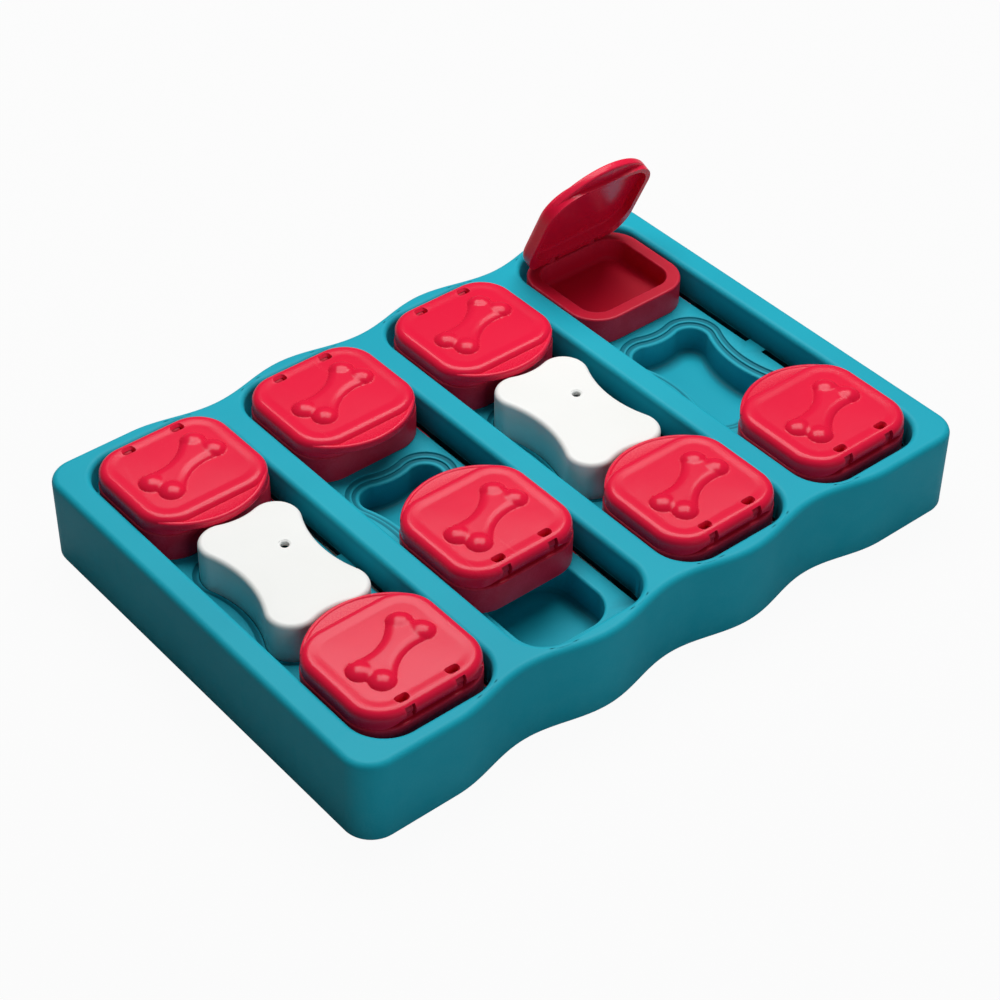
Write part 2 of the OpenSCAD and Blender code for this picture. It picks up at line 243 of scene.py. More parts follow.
# Where the middle point of a small round stands, as a share of its radius: about 1 - cos 45.
BEND = 0.3
# The loose bone and its seat in the tray share these; only their steps differ.
BONE_SIZES = {"length": 70.6, "width": 46.0, "waist": 36.0, "dip": 2.0, "lobe": 11.0}
BONE_TURN = -2.5


def four_corners(x: float, y: float) -> tuple[tuple[float, float], ...]:
    """The four corners of a rectangle about the origin, anticlockwise from (x, y)."""
    return (x, y), (-x, y), (-x, -y), (x, -y)


def flat_margin(radius: float) -> float:
    """How far beyond a round the row stands that keeps the top flat."""
    return min(0.4, radius / 3)


def quarter_turn(steps: int) -> np.ndarray:
    """The cosines and sines (steps + 1, 2) of evenly spaced angles from 0 to 90 degrees."""
    angle = np.linspace(0, np.pi / 2, steps + 1)
    return np.column_stack([np.cos(angle), np.sin(angle)])


def round_over(inset: float, z: float, radius: float, steps: int) -> list[tuple[float, float]]:
    """Rows of a convex quarter round from a wall up and over onto a top.

    The rows are (inset + r - r cos a, z - r + r sin a) for a from 0 to 90 degrees, with one more
    row a little further in that keeps the top flat.

    Args:
        inset: The wall's inset from the outline.
        z: The height of the top.
        radius: The radius of the round.
        steps: How many steps it has.

    Returns:
        The (inset, z) rows, upwards.
    """
    rows = [(inset + radius * (1 - c), z - radius * (1 - s)) for c, s in quarter_turn(steps)]
    return rows + [(inset + radius + flat_margin(radius), z)]


def hollow_round(inset: float, z: float, radius: float, steps: int) -> list[tuple[float, float]]:
    """Rows of a concave quarter round from a wall down and in onto a bottom.

    The rows are (inset + r - r cos a, z + r - r sin a) for a from 0 to 90 degrees.

    Args:
        inset: The wall's inset from the outline.
        z: The height of the bottom.
        radius: The radius of the round.
        steps: How many steps it has.

    Returns:
        The (inset, z) rows, downwards.
    """
    return [(inset + radius * (1 - c), z + radius * (1 - s)) for c, s in quarter_turn(steps)]


def mouth(inset: float, z: float, radius: float, steps: int) -> list[tuple[float, float]]:
    """Rows of a convex quarter round from a top in and down into a hollow.

    The rows are (inset - r + r sin a, z - r + r cos a) for a from 0 to 90 degrees, with one row
    before them that keeps the top flat.

    Args:
        inset: The inset of the hollow's wall.
        z: The height of the top.
        radius: The radius of the round.
        steps: How many steps it has.

    Returns:
        The (inset, z) rows, downwards.
    """
    rows = [(inset - radius * (1 - s), z - radius * (1 - c)) for c, s in quarter_turn(steps)]
    return [(inset - radius - flat_margin(radius), z)] + rows


def ceiling_round(inset: float, z: float, radius: float, steps: int) -> list[tuple[float, float]]:
    """Rows of a concave quarter round from a ceiling out and down to a wall, a hollow's upside down.

    Args:
        inset: The wall's inset from the outline.
        z: The height of the ceiling.
        radius: The radius of the round.
        steps: How many steps it has.

    Returns:
        The (inset, z) rows, downwards.
    """
    return [(d, 2 * z - height) for d, height in hollow_round(inset, z, radius, steps)][::-1]


# ------------------------------------------------------------------ surfaces


class Skin:
    """The patches of one surface, collected as points in millimetres and faces between them."""

    def __init__(self) -> None:
        """Starts with no patch."""
        self.points: list[np.ndarray] = []
        self.faces: list[np.ndarray] = []
        self.count = 0

    def patch(self, points: np.ndarray, faces: np.ndarray) -> None:
        """Adds points (N, 3) and the faces (K, 3 or 4) that join them.

        Args:
            points: The points (N, 3).
            faces: The faces (K, 3 or 4), by the points' numbers.
        """
        self.points.append(points)
        self.faces.append(faces + self.count)
        self.count += len(points)

    def grid(self, rows: np.ndarray, closed: bool = True) -> None:
        """Adds a surface of two parameters: row i and place j along the row.

        With rows that run anticlockwise, faces point outwards where the rows rise, upwards where
        they move in, and into a hollow where they fall.

        Args:
            rows: The points, (rows, places, 3).
            closed: Whether each row's end joins its start.
        """
        m, n = rows.shape[:2]
        i, j = np.meshgrid(np.arange(m - 1), np.arange(n if closed else n - 1), indexing="ij")
        k = (j + 1) % n
        faces = np.stack([i * n + j, i * n + k, (i + 1) * n + k, (i + 1) * n + j], axis=-1)
        self.patch(rows.reshape(-1, 3), faces.reshape(-1, 4))

    def rise(self, outline: Outline, rows: Sequence[tuple[float, float]]) -> None:
        """Carries a profile of (inset, z) rows along an outline."""
        self.grid(np.stack([level(outline.inset(d), z) for d, z in rows]))

    def disc(self, outline: Outline, inset: float, z: float, steps: int, upwards: bool) -> None:
        """Closes an inset outline with rings that shrink evenly onto its middle.

        Args:
            outline: The outline.
            inset: The inset of the outer ring.
            z: Its height.
            steps: How many rings there are.
            upwards: Whether the face looks up.
        """
        ring = outline.inset(inset)
        middle = (ring.max(axis=0) + ring.min(axis=0)) / 2
        shrink = np.linspace(0, 1, steps + 1)
        rows = np.stack([level(ring + (middle - ring) * t, z) for t in shrink])
        self.grid(rows if upwards else rows[::-1])

    def cap(self, z: float, outer: np.ndarray, holes: Sequence[np.ndarray], upwards: bool) -> None:
        """Fills the flat region between one loop and the holes in it with triangles.

        Args:
            z: The height of the region.
            outer: The outer loop (N, 2).
            holes: The loops of its holes.
            upwards: Whether the faces look up.
        """
        loops = [outer, *holes]
        starts = np.cumsum([0] + [len(loop) for loop in loops])
        edges = []
        for start, loop in zip(starts, loops):
            index = np.arange(len(loop))
            edges.append(np.stack([start + index, start + (index + 1) % len(loop)], axis=1))
        within_outer, tolerance = 1, MEET / 10
        made = delaunay_2d_cdt(np.concatenate(loops).tolist(), np.concatenate(edges).tolist(), [],
                               within_outer, tolerance)
        flat, faces = np.array([tuple(point) for point in made[0]]), np.array(made[2])
        middles = flat[faces].mean(axis=1)
        faces = faces[~np.any([inside(middles, hole) for hole in holes], axis=0)]
        a, b, c = flat[faces[:, 0]], flat[faces[:, 1]], flat[faces[:, 2]]
        area = (b[:, 0] - a[:, 0]) * (c[:, 1] - a[:, 1]) - (b[:, 1] - a[:, 1]) * (c[:, 0] - a[:, 0])
        wrong = (area > 0) != upwards
        faces[wrong] = faces[wrong][:, ::-1]
        self.patch(level(flat, z), faces)

    def moved(self, place: Callable[[np.ndarray], np.ndarray]) -> "Skin":
        """Returns a copy of the surface with every point put through a function.

        Args:
            place: Takes points (N, 3) to where they go.

        Returns:
            The copy.
        """
        copy = Skin()
        copy.faces, copy.count = list(self.faces), self.count
        copy.points = [place(points) for points in self.points]
        return copy

    def add(self, other: "Skin") -> None:
        """Takes in all patches of another surface.

        Args:
            other: The surface whose patches are taken in.
        """
        for faces in other.faces:
            self.faces.append(faces + self.count)
        self.points.extend(other.points)
        self.count += other.count

    def mesh(self, name: str) -> bpy.types.Mesh:
        """Welds the patches into one mesh in metres.

        Args:
            name: The mesh's name.

        Returns:
            The mesh.
        """
        made = bpy.data.meshes.new(name)
        points = (np.concatenate(self.points) * MM).tolist()
        made.from_pydata(points, [], [face for faces in self.faces for face in faces.tolist()])
        work = bmesh.new()
        work.from_mesh(made)
        bmesh.ops.remove_doubles(work, verts=work.verts, dist=WELD)
        bmesh.ops.dissolve_degenerate(work, edges=work.edges, dist=WELD / 10)
        work.to_mesh(made)
        work.free()
        return made


def inside(points: np.ndarray, loop: np.ndarray) -> np.ndarray:
    """Tells which points lie in a loop: a ray along X from them crosses it an odd number of times.

    Args:
        points: The points (N, 2).
        loop: The closed loop (M, 2).

    Returns:
        A truth value for each point.
    """
    x, y = points[:, 0:1], points[:, 1:2]
    (x0, y0), (x1, y1) = loop.T, np.roll(loop, -1, axis=0).T
    rise = np.where(y1 == y0, 1.0, y1 - y0)
    ahead = x < x0 + (y - y0) * (x1 - x0) / rise
    return np.sum(((y0 > y) != (y1 > y)) & ahead, axis=1) % 2 == 1


def level(flat: np.ndarray, z: float | np.ndarray) -> np.ndarray:
    """Lifts points (N, 2) to the height z, one number or one a point."""
    return np.column_stack([flat, np.broadcast_to(z, len(flat))])


def ease(x: np.ndarray | float) -> np.ndarray | float:
    """Goes smoothly from 0 to 1 as x does: 3x^2 - 2x^3."""
    t = np.clip(x, 0, 1)
    return t * t * (3 - 2 * t)


def prism(polygon: np.ndarray, x0: float, x1: float) -> Skin:
    """A closed prism with a polygon in the YZ plane, from x0 to x1.

    Args:
        polygon: The (y, z) points, anticlockwise seen from +X.
        x0: The lower X.
        x1: The higher X.

    Returns:
        The closed surface.
    """
    skin = Skin()
    ring = np.stack([np.column_stack([np.full(len(polygon), x), polygon]) for x in (x0, x1)])
    middle = ring.mean(axis=1, keepdims=True)
    skin.grid(np.concatenate([np.repeat(middle[:1], len(polygon), axis=1), ring,
                              np.repeat(middle[1:], len(polygon), axis=1)]))
    return skin


def carve(base: Skin, cutters: Sequence[Skin]) -> Skin:
    """Cuts closed surfaces out of a closed surface.

    Args:
        base: The surface that is cut.
        cutters: The surfaces to take away.

    Returns:
        The cut surface, with its points in millimetres.
    """
    target = bpy.data.objects.new("carve_base", base.mesh("carve_base"))
    bpy.context.scene.collection.objects.link(target)
    used = [target]
    for number, cutter in enumerate(cutters):
        tool = bpy.data.objects.new(f"carve_tool_{number}", cutter.mesh("carve_tool"))
        bpy.context.scene.collection.objects.link(tool)
        used.append(tool)
        cut = target.modifiers.new(tool.name, "BOOLEAN")
        cut.operation = "DIFFERENCE"
        cut.solver = "EXACT"
        cut.object = tool
    shown = target.evaluated_get(bpy.context.evaluated_depsgraph_get())
    result = bpy.data.meshes.new_from_object(shown)
    work = bmesh.new()
    work.from_mesh(result)
    bmesh.ops.triangulate(work, faces=work.faces)
    work.to_mesh(result)
    work.free()
    carved = Skin()
    carved.patch(mesh_points(result) / MM, mesh_triangles(result))
    bpy.data.meshes.remove(result)
    for thing in used:
        data = thing.data
        bpy.data.objects.remove(thing)
        bpy.data.meshes.remove(data)
    return carved


def mesh_points(mesh: bpy.types.Mesh) -> np.ndarray:
    """Reads a mesh's points as an (N, 3) array.

    Args:
        mesh: The mesh.

    Returns:
        The points, in the mesh's own unit.
    """
    flat = np.empty(len(mesh.vertices) * 3)
    mesh.vertices.foreach_get("co", flat)
    return flat.reshape(-1, 3)


def mesh_triangles(mesh: bpy.types.Mesh) -> np.ndarray:
    """Reads the corners of a mesh of triangles as a (K, 3) array.

    Args:
        mesh: The mesh, with triangles only.

    Returns:
        The three points of each triangle, by number.
    """
    corners = np.empty(len(mesh.loops), dtype=int)
    mesh.loops.foreach_get("vertex_index", corners)
    return corners.reshape(-1, 3)


def mark_curvature(mesh: bpy.types.Mesh) -> None:
    """Writes the point attributes "edge" and "hollow" that wear, dust and painted corner shade follow.

    Along each mesh edge the normals at its two ends open or close by
    (n1 - n0) . (p1 - p0) / |p1 - p0|^2, which is the curvature there. A point's edge value is the
    most that its normals open, and its hollow value the most that they close.

    Args:
        mesh: The mesh in metres.
    """
    points = mesh_points(mesh) / MM
    normals = np.empty(len(mesh.vertices) * 3)
    mesh.vertex_normals.foreach_get("vector", normals)
    normals = normals.reshape(-1, 3)
    ends = np.empty(len(mesh.edges) * 2, dtype=int)
    mesh.edges.foreach_get("vertices", ends)
    a, b = ends.reshape(-1, 2).T
    along = points[b] - points[a]
    bend = np.einsum("ij,ij->i", normals[b] - normals[a], along)
    bend /= np.maximum(np.einsum("ij,ij->i", along, along), LEAST_EDGE)
    for name, values in (("edge", bend), ("hollow", -bend)):
        most = np.zeros(len(points))
        np.maximum.at(most, a, values)
        np.maximum.at(most, b, values)
        attribute = mesh.attributes.new(name, "FLOAT", "POINT")
        attribute.data.foreach_set("value", np.clip(most, 0, 1))


def make_piece(name: str, skin: Skin, material: bpy.types.Material, slot: Slot, body: str,
               *nodes: str) -> None:
    """Makes a finished piece that rides on a body and stands for its CAD nodes.

    Args:
        name: The piece's name.
        skin: Its surface.
        material: Its material.
        slot: The record's material slot; not used.
        body: The body that it moves with.
        *nodes: The CAD nodes that it stands for.
    """
    mesh = skin.mesh(name)
    mesh.shade_smooth()
    mesh.set_sharp_from_angle(angle=SHARP)
    mark_curvature(mesh)
    mesh.materials.append(material)
    piece = bpy.data.objects.new(name, mesh)
    bpy.context.scene.collection.objects.link(piece)
    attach(piece, body)
    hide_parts(*nodes)
    LOG.info("%s: %d faces on %s", name, len(mesh.polygons), body)


# ------------------------------------------------------------------ finishes


def srgb(red: int, green: int, blue: int) -> Colour:
    """Turns a colour of 0 to 255 a channel into the linear values that shaders take.

    Args:
        red: The red.
        green: The green.
        blue: The blue.

    Returns:
        The linear colour, opaque.
    """
    c = np.array([red, green, blue]) / 255
    linear = np.where(c <= 0.04045, c / 12.92, ((c + 0.055) / 1.055) ** 2.4)
    return (*linear.tolist(), 1.0)


class Sheet:
    """A node tree with short ways to add, set and link its nodes."""

    def __init__(self, tree: bpy.types.NodeTree) -> None:
        """Takes the tree that it works on."""
        self.tree = tree

    def add(self, kind: str, inputs: dict[str | int, object] | None = None,
            **settings: object) -> bpy.types.Node:
        """Adds a node, sets its properties and feeds its inputs.

        Args:
            kind: The node's type, without the ShaderNode in front.
            inputs: A socket to link or a value to set for each input, by name or number.
            **settings: The node's own properties.

        Returns:
            The node.
        """
        node = self.tree.nodes.new("ShaderNode" + kind)
        for key, value in settings.items():
            setattr(node, key, value)
        self.feed(node, inputs or {})
        return node

    def feed(self, node: bpy.types.Node, inputs: dict[str | int, object]) -> None:
        """Links sockets to a node's inputs and sets plain values on the others.

        Args:
            node: The node.
            inputs: A socket to link or a value to set for each input.
        """
        for key, value in inputs.items():
            if isinstance(value, bpy.types.NodeSocket):
                self.tree.links.new(value, node.inputs[key])
            else:
                node.inputs[key].default_value = value

    def coordinates(self) -> bpy.types.NodeSocket:
        """The piece's own coordinates in metres, which every pattern follows."""
        return self.add("TexCoord").outputs["Object"]

    def maths(self, operation: str, a: object, b: object = 0.0,
              clamp: bool = False) -> bpy.types.NodeSocket:
        """Works out one operation on one or two numbers."""
        return self.add("Math", {0: a, 1: b}, operation=operation, use_clamp=clamp).outputs[0]

    def product(self, *factors: object, clamp: bool = False) -> bpy.types.NodeSocket:
        """Multiplies the factors one after the other.

        Args:
            *factors: The numbers or sockets.
            clamp: Whether each result is held within 0 and 1.

        Returns:
            The product.
        """
        result = factors[0]
        for factor in factors[1:]:
            result = self.maths("MULTIPLY", result, factor, clamp=clamp)
        return result

    def blend(self, factor: object, a: object, b: object) -> bpy.types.NodeSocket:
        """Goes from colour a to colour b by a factor.

        Args:
            factor: 0 for a, 1 for b.
            a: The first colour.
            b: The second colour.

        Returns:
            The mixed colour.
        """
        first, second, result = 6, 7, 2  # The places of a Mix node's colour sockets.
        node = self.add("Mix", {"Factor": factor, first: a, second: b}, data_type="RGBA")
        return node.outputs[result]

    def relief(self, height: object, depth_mm: float) -> bpy.types.NodeSocket:
        """The normal of a surface whose height of 1 stands for some millimetres."""
        return self.add("Bump", {"Height": height, "Distance": depth_mm * MM}).outputs[0]

    def ramp(self, value: object, low: float, high: float, to_low: float = 0.0,
             to_high: float = 1.0) -> bpy.types.NodeSocket:
        """Maps low..high onto to_low..to_high and holds the ends."""
        inputs = {"Value": value, "From Min": low, "From Max": high, "To Min": to_low, "To Max": to_high}
        return self.add("MapRange", inputs).outputs[0]

    def noise(self, place: object, size_mm: object, detail: float = 3.0,
              roughness: float = 0.5) -> bpy.types.NodeSocket:
        """Noise with lumps of about a size in millimetres.

        Args:
            place: The coordinates.
            size_mm: The size of its lumps.
            detail: How many finer layers lie over them.
            roughness: How strong those are.

        Returns:
            The noise, about 0.5 in the middle.
        """
        scale = self.maths("DIVIDE", 1 / MM, size_mm)
        inputs = {"Vector": place, "Scale": scale, "Detail": detail, "Roughness": roughness}
        return self.add("TexNoise", inputs).outputs["Fac"]


def new_material(name: str) -> tuple[bpy.types.Material, Sheet, bpy.types.Node]:
    """Makes an empty material.

    Args:
        name: The material's name.

    Returns:
        The material, the sheet of its nodes and its Principled shader.
    """
    material = bpy.data.materials.new(name)
    material.use_nodes = True
    return material, Sheet(material.node_tree), material.node_tree.nodes["Principled BSDF"]


class Effect:
    """A surface effect that several finishes share, kept as one shader node group."""

    def __init__(self, name: str, inputs: dict[str, float], outputs: Sequence[str],
                 recipe: Callable[[Sheet, bpy.types.Node], dict[str, bpy.types.NodeSocket]]) -> None:
        """Builds the group once.

        Args:
            name: The group's name.
            inputs: The named inputs with their usual values; Place is added to them.
            outputs: The named outputs, all plain numbers.
            recipe: Makes the nodes from the group's inputs and gives a socket for each output.
        """
        self.tree = bpy.data.node_groups.new(name, "ShaderNodeTree")
        self.tree.interface.new_socket("Place", in_out="INPUT", socket_type="NodeSocketVector")
        for key, value in inputs.items():
            socket = self.tree.interface.new_socket(key, in_out="INPUT", socket_type="NodeSocketFloat")
            socket.default_value = value
        for key in outputs:
            self.tree.interface.new_socket(key, in_out="OUTPUT", socket_type="NodeSocketFloat")
        sheet = Sheet(self.tree)
        entry = self.tree.nodes.new("NodeGroupInput")
        leave = self.tree.nodes.new("NodeGroupOutput")
        sheet.feed(leave, recipe(sheet, entry))

    def use(self, sheet: Sheet, place: bpy.types.NodeSocket, **values: object) -> bpy.types.Node:
        """Places the group in a material.

        Args:
            sheet: The material's nodes.
            place: The coordinates that its patterns follow.
            **values: A value or socket for each named input, with _ for a space.

        Returns:
            The group node.
        """
        node = sheet.tree.nodes.new("ShaderNodeGroup")
        node.node_tree = self.tree
        named = {key.replace("_", " "): value for key, value in values.items()}
        sheet.feed(node, {"Place": place, **named})
        return node


# The ranges in which most of a noise's values lie, for a clear and for a soft pattern.
CLEAR, SOFT = (0.35, 0.65), (0.3, 0.7)
# The curvatures, per millimetre, at which an inner corner starts to take dust and painted shade, and takes
# them fully.
CORNER_BEND = (0.02, 0.5)
# The sizes of the patterns' lumps in millimetres.
RUB_PATCH, RUB_FLECK, FILM_PATCH, SCUFF_PATCH, SHADE_PATCH = 9.0, 0.9, 26.0, 35.0, 6.0
# The share of the painted slot shade that lies on the walls at floor height.
WALL_SHADE = 0.7


def grain_recipe(sheet: Sheet, entry: bpy.types.Node) -> dict[str, bpy.types.NodeSocket]:
    """Eroded mould grain: fine pits over slow waves of the surface.

    Args:
        sheet: The group's nodes.
        entry: The node that gives the group's inputs.

    Returns:
        A socket for each output, by name.
    """
    given = entry.outputs
    pits = sheet.noise(given["Place"], given["Pit size"], 4.0, 0.6)
    waves = sheet.noise(given["Place"], given["Wave size"], 1.0)
    height = sheet.maths("ADD", sheet.product(pits, given["Pit depth"]),
                         sheet.product(waves, given["Wave depth"]))
    return {"Height": height, "Pits": sheet.ramp(pits, *CLEAR)}


def rub_recipe(sheet: Sheet, entry: bpy.types.Node) -> dict[str, bpy.types.NodeSocket]:
    """Rubbed edges: the edge attribute, broken up by noise at two sizes.

    Args:
        sheet: The group's nodes.
        entry: The node that gives the group's inputs.

    Returns:
        A socket for each output, by name.
    """
    given = entry.outputs
    edge = sheet.add("Attribute", attribute_name="edge").outputs["Fac"]
    bare = sheet.ramp(edge, given["Start"], given["Full"])
    patches = sheet.ramp(sheet.noise(given["Place"], RUB_PATCH), *CLEAR, to_low=0.35)
    flecks = sheet.ramp(sheet.noise(given["Place"], RUB_FLECK, 4.0, 0.65), 0.4, 0.6, to_low=0.45)
    return {"Mask": sheet.product(bare, patches, flecks, given["Amount"], clamp=True)}


def dust_and_shade_recipe(sheet: Sheet, entry: bpy.types.Node) -> dict[str, bpy.types.NodeSocket]:
    """Inner corners and a thin uneven film elsewhere: pale dust on rubber, on plastic a deeper tone that is
    painted shade in the corners.

    Args:
        sheet: The group's nodes.
        entry: The node that gives the group's inputs.

    Returns:
        A socket for each output, by name.
    """
    given = entry.outputs
    hollow = sheet.add("Attribute", attribute_name="hollow").outputs["Fac"]
    corner = sheet.ramp(hollow, *CORNER_BEND)
    film = sheet.ramp(sheet.noise(given["Place"], FILM_PATCH, 4.0, 0.6), 0.45, 0.7)
    mask = sheet.maths("ADD", corner, sheet.product(film, given["Film"]), clamp=True)
    return {"Mask": sheet.product(mask, given["Amount"], clamp=True), "Corner": corner}


def scuff_recipe(sheet: Sheet, entry: bpy.types.Node) -> dict[str, bpy.types.NodeSocket]:
    """Fine scuffs: two sets of noise drawn out along crossing directions and cut to thin lines.

    Args:
        sheet: The group's nodes.
        entry: The node that gives the group's inputs.

    Returns:
        A socket for each output, by name.
    """
    given = entry.outputs
    lines = []
    for turn, stretch in ((0.5, (0.05, 1.0, 0.3)), (2.2, (1.0, 0.06, 0.3))):
        drawn = sheet.add("Mapping", {"Vector": given["Place"], "Rotation": (0.1, 0.2, turn),
                                      "Scale": stretch})
        streaks = sheet.noise(drawn.outputs[0], given["Line size"], 2.0)
        lines.append(sheet.ramp(streaks, 0.66, 0.72))
    areas = sheet.ramp(sheet.noise(given["Place"], SCUFF_PATCH, 2.0), 0.48, 0.62)
    return {"Mask": sheet.product(sheet.maths("MAXIMUM", *lines), areas, given["Amount"])}


def slot_shade_recipe(sheet: Sheet, entry: bpy.types.Node) -> dict[str, bpy.types.NodeSocket]:
    """Painted shade on the faces of the slots and, thinner, on the channel walls above them.

    The share across a channel is |fract(x / pitch) - 1 / 2|, 0 at its middle and 1 / 2 between
    two channels. It and the height pick out the faces.

    Args:
        sheet: The group's nodes.
        entry: The node that gives the group's inputs.

    Returns:
        A socket for each output, by name.
    """
    given = entry.outputs
    at = sheet.add("SeparateXYZ", {0: given["Place"]}).outputs
    channel = sheet.maths("FRACT", sheet.maths("DIVIDE", at["X"], given["Pitch"]))
    across = sheet.maths("ABSOLUTE", sheet.maths("SUBTRACT", channel, 0.5))
    faces = sheet.product(sheet.maths("GREATER_THAN", across, given["Inner share"]),
                          sheet.ramp(at["Z"], given["Floor"], given["Full"]))
    walls = sheet.product(sheet.maths("GREATER_THAN", across, given["Wall share"]),
                          sheet.ramp(at["Z"], given["Wall top"], given["Floor"], to_high=WALL_SHADE))
    mask = sheet.maths("MAXIMUM", faces, walls)
    for axis, limit in (("X", "Half length"), ("Y", "Half width")):
        away = sheet.maths("ABSOLUTE", at[axis])
        mask = sheet.product(mask, sheet.maths("LESS_THAN", away, given[limit]))
    patchy = sheet.ramp(sheet.noise(given["Place"], SHADE_PATCH), *SOFT, to_low=0.85)
    return {"Mask": sheet.product(mask, patchy, clamp=True)}


@dataclass(frozen=True)
class Effects:
    """The effects that the finishes share.

    Sizes and depths of patterns are in millimetres. The painted slot shade's places are in metres, and
    its shares are distances from a channel's middle over the pitch.
    """

    grain: Effect = field(default_factory=lambda: Effect(
        "mould_grain", {"Pit size": 0.4, "Pit depth": 0.01, "Wave size": 25.0, "Wave depth": 0.05},
        ("Height", "Pits"), grain_recipe))
    rub: Effect = field(default_factory=lambda: Effect(
        "rubbed_edges", {"Start": 0.1, "Full": 0.9, "Amount": 0.5}, ("Mask",), rub_recipe))
    dust_and_shade: Effect = field(default_factory=lambda: Effect(
        "dust_and_corner_shade", {"Amount": 0.5, "Film": 0.2}, ("Mask", "Corner"), dust_and_shade_recipe))
    scuff: Effect = field(default_factory=lambda: Effect(
        "fine_scuffs", {"Line size": 6.0, "Amount": 0.5}, ("Mask",), scuff_recipe))
    # Painted shade in the slots and at the foot of the channel walls above them.
    slots: Effect = field(default_factory=lambda: Effect(
        "painted_slot_shade", {"Pitch": PITCH * MM, "Inner share": 28.5 / PITCH, "Wall share": 31.7 / PITCH,
                      "Floor": 26.0 * MM, "Full": 25.6 * MM, "Wall top": 36.0 * MM,
                      "Half length": 149.0 * MM, "Half width": 93.0 * MM},
        ("Mask",), slot_shade_recipe))


@dataclass(frozen=True)
class MouldedPlastic:
    """Injection-moulded plastic: grained, a little uneven in tone, rubbed along its edges.

    Its inner corners, and a thin uneven film elsewhere, take a deeper tone; in the corners that is
    painted shade. A painted corner shade darkens the inner corners further, and a painted slot
    shade darkens the slots in the floors of the channels and the foot of the walls above them.
    """

    name: str
    base: Colour
    deep: Colour
    rubbed: Colour
    roughness: float
    pit_size: float = 0.45
    pit_depth: float = 0.012
    wave_depth: float = 0.03
    rub: float = 0.35
    # How much the inner corners and the film take the deep tone; in the corners this is painted shade.
    dust: float = 0.25
    scuffs: float = 0.5
    drift_size: float = 60.0
    drift_share: float = 0.35
    pit_roughness: float = 0.08
    rub_roughness: float = 0.12
    dust_roughness: float = 0.15
    scuff_roughness: float = 0.12
    specular: float = 0.5
    # A colour of painted shade for the inner corners, and how much of it they take.
    painted_corner_shade: Colour | None = None
    corner_share: float = 0.6
    painted_slot_shade: Colour | None = None

    def make(self, effects: Effects) -> bpy.types.Material:
        """Builds the material.

        Args:
            effects: The shared effects.

        Returns:
            The material.
        """
        material, sheet, shader = new_material(self.name)
        place = sheet.coordinates()
        grain = effects.grain.use(sheet, place, Pit_size=self.pit_size, Pit_depth=self.pit_depth,
                                  Wave_depth=self.wave_depth)
        rub = effects.rub.use(sheet, place, Amount=self.rub)
        dust = effects.dust_and_shade.use(sheet, place, Amount=self.dust)
        scuff = effects.scuff.use(sheet, place, Amount=self.scuffs)
        drift = sheet.ramp(sheet.noise(place, self.drift_size, 2.0), *SOFT, to_high=self.drift_share)
        tone = sheet.blend(drift, self.base, self.deep)
        # Inner corners and a thin uneven film go towards the deep tone; in the corners this darkening is
        # painted shade.
        tone = sheet.blend(dust.outputs["Mask"], tone, self.deep)
        tone = sheet.blend(rub.outputs["Mask"], tone, self.rubbed)
        # Painted shade: the inner corners are darkened further, where shade falls.
        if self.painted_corner_shade:
            shade = sheet.product(dust.outputs["Corner"], self.corner_share)
            tone = sheet.blend(shade, tone, self.painted_corner_shade)
        # Painted shade: the slots and the foot of the channel walls are darkened where shade falls.
        if self.painted_slot_shade:
            slot_shade = effects.slots.use(sheet, place)
            tone = sheet.blend(slot_shade.outputs["Mask"], tone, self.painted_slot_shade)
        spread = sheet.product(sheet.maths("SUBTRACT", grain.outputs["Pits"], 0.5), self.pit_roughness)
        rough = sheet.maths("ADD", spread, self.roughness)
        for effect, more in ((rub, self.rub_roughness), (dust, self.dust_roughness),
                             (scuff, self.scuff_roughness)):
            rough = sheet.maths("ADD", rough, sheet.product(effect.outputs["Mask"], more), clamp=True)
        scratches = sheet.product(scuff.outputs["Mask"], self.pit_depth)
        height = sheet.maths("SUBTRACT", grain.outputs["Height"], scratches)
        sheet.feed(shader, {"Base Color": tone, "Roughness": rough, "Normal": sheet.relief(height, 1.0),
                            "Specular IOR Level": self.specular})
        return material


@dataclass(frozen=True)
class SoftRubber:
    """Matte rubber with a fine pebble grain and pale dust."""

    name: str
    base: Colour
    dusty: Colour
    roughness: float = 0.8
    uneven: float = 0.08
    pebble: float = 0.8
    pebble_depth: float = 0.04
    dust: float = 0.6

    def make(self, effects: Effects) -> bpy.types.Material:
        """Builds the material.

        Args:
            effects: The shared effects.

        Returns:
            The material.
        """
        material, sheet, shader = new_material(self.name)
        place = sheet.coordinates()
        grain = effects.grain.use(sheet, place, Pit_size=self.pebble, Pit_depth=self.pebble_depth,
                                  Wave_depth=0.0)
        dust = effects.dust_and_shade.use(sheet, place, Amount=self.dust, Film=self.dust)
        tone = sheet.blend(dust.outputs["Mask"], self.base, self.dusty)
        rough = sheet.ramp(grain.outputs["Pits"], 0, 1, self.roughness - self.uneven,
                           self.roughness + self.uneven)
        sheet.feed(shader, {"Base Color": tone, "Roughness": rough,
                            "Normal": sheet.relief(grain.outputs["Height"], 1.0)})
        return material


